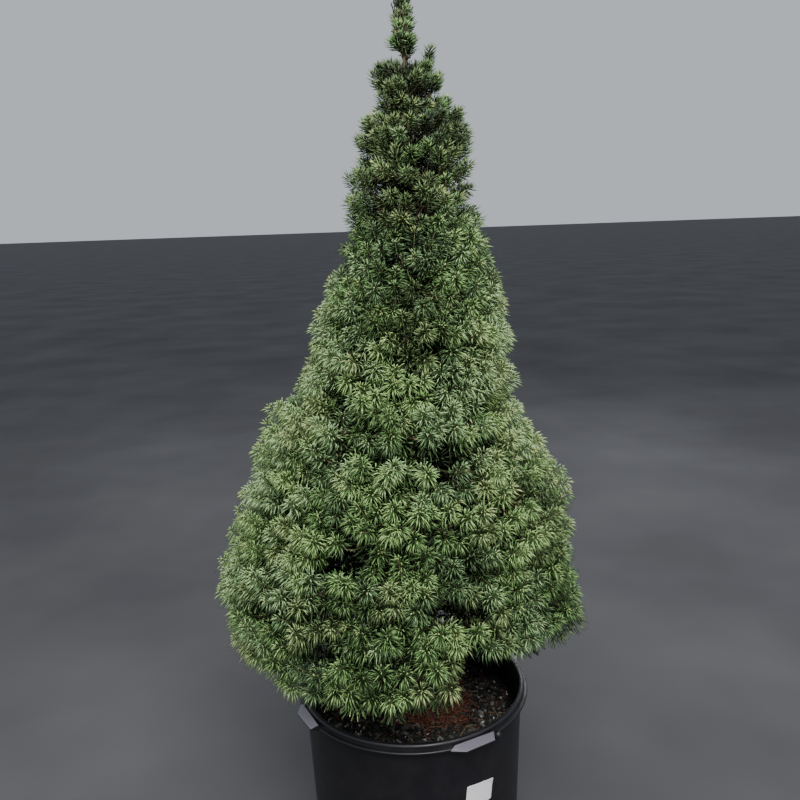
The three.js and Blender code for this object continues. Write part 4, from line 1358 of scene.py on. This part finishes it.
def make_dead_needles(wall, random):
    """Dead needles, of which most lie in two heaps under the open part of the crown."""
    count, margin = 2500, 9
    spots = scattered(count, wall - margin, random, lift=1.6)
    chance = random.random(count)
    heaps = [(chance < 0.5, (64, 8), (11, 30)), (chance > 0.72, (22, -42), (30, 12))]
    for members, middle, spread in heaps:
        spots[members, :2] = random.normal(middle, spread, (members.sum(), 2))
    spots = settle(spots, lift=1.8)
    spots = spots[np.hypot(spots[:, 0], spots[:, 1]) < wall - margin]
    count = len(spots)
    aims = flat_directions(count, random, 0.16)
    long, wide = random.uniform(8, 13, count), random.uniform(1.0, 1.5, count)
    points, faces = needle_bodies(spots, aims, 0 * spots, long, wide, 6, random)
    rusts = [new_material("dead_rust", (0.38, 0.105, 0.052), 0.7),
             new_material("dead_brown", (0.17, 0.080, 0.052), 0.8),
             new_material("dead_straw", (0.34, 0.22, 0.12), 0.7)]
    slots = np.repeat(random.choice(3, count, p=[0.5, 0.35, 0.15]), 6)
    place(mesh_object("dead_needles", points, faces, rusts, slots), "soil")


def make_straw(wall, random):
    """A few long thin strands, bent along the compost."""
    count, rings, radius = 34, 9, 0.35
    spots = scattered(count, wall - 34, random, lift=2.2)
    ends = spots + flat_directions(count, random, 0.05) * random.uniform(16, 34, (count, 1))
    bend = (spots + ends) / 2 + random.normal(0, 5, (count, 3)) * [1, 1, 0.25]
    paths = bezier(spots, settle(bend, 2.4), settle(ends, 2.4), rings)
    points, faces = tubes(paths, np.full((count, rings), radius), 5)
    straw = [new_material("straw", (0.36, 0.27, 0.15), 0.7)]
    place(mesh_object("straw_strands", points, faces, straw), "soil")


# Stage, light and camera

def make_stage():
    half = FLOOR_SIZE / 2
    points = [(-half, -half, 0), (half, -half, 0), (half, half, 0), (-half, half, 0)]
    ground = Pattern("ground", (0.16, 0.16, 0.165), 0.9, 0.2)
    colour = ground.ramp(ground.noise(1.4, 3), [(0.3, (0.055, 0.055, 0.06)), (0.7, (0.085, 0.085, 0.09))])
    floor = mesh_object("floor", points, [(0, 1, 2), (0, 2, 3)], [ground.finish(colour)])


def area_light(name, spot, aim, size, power, colour):
    light = bpy.data.lights.new(name, "AREA")
    light.size = size * MM
    light.energy = power
    light.color = colour
    lamp = link(bpy.data.objects.new(name, light))
    lamp.location = Vector(spot) * MM
    lamp.rotation_euler = (Vector(aim) - Vector(spot)).to_track_quat("-Z", "Y").to_euler()


def make_light():
    """A bright overcast sky, with more light from above and from behind the camera."""
    world = bpy.data.worlds.new("sky")
    world.use_nodes = True
    background = world.node_tree.nodes["Background"]
    background.inputs["Color"].default_value = (0.66, 0.70, 0.76, 1)
    background.inputs["Strength"].default_value = 0.8
    bpy.context.scene.world = world
    warm, cool = (1.0, 0.99, 0.97), (0.96, 0.98, 1.0)
    area_light("above", spot=(220, -1700, 2700), aim=(0, 0, 550), size=1700, power=130, colour=warm)
    area_light("behind", spot=(900, 2600, 2400), aim=(0, 0, 800), size=2000, power=50, colour=cool)


def make_camera():
    lens = bpy.data.cameras.new("camera")
    lens.sensor_width = 36
    lens.lens = CAMERA_FOCAL
    camera = link(bpy.data.objects.new("camera", lens))
    tilt = Matrix.Rotation(math.radians(90 - CAMERA_PITCH), 4, "X")
    roll = Matrix.Rotation(math.radians(-CAMERA_ROLL), 4, "Z")
    camera.matrix_world = Matrix.Translation(Vector(CAMERA_PLACE) * MM) @ tilt @ roll
    bpy.context.scene.camera = camera


def main():
    make_camera()
    make_stage()
    make_light()
    masses = list_masses()
    make_pot()
    make_label()
    make_soil()
    make_limbs(masses)
    make_foliage(masses)


main()
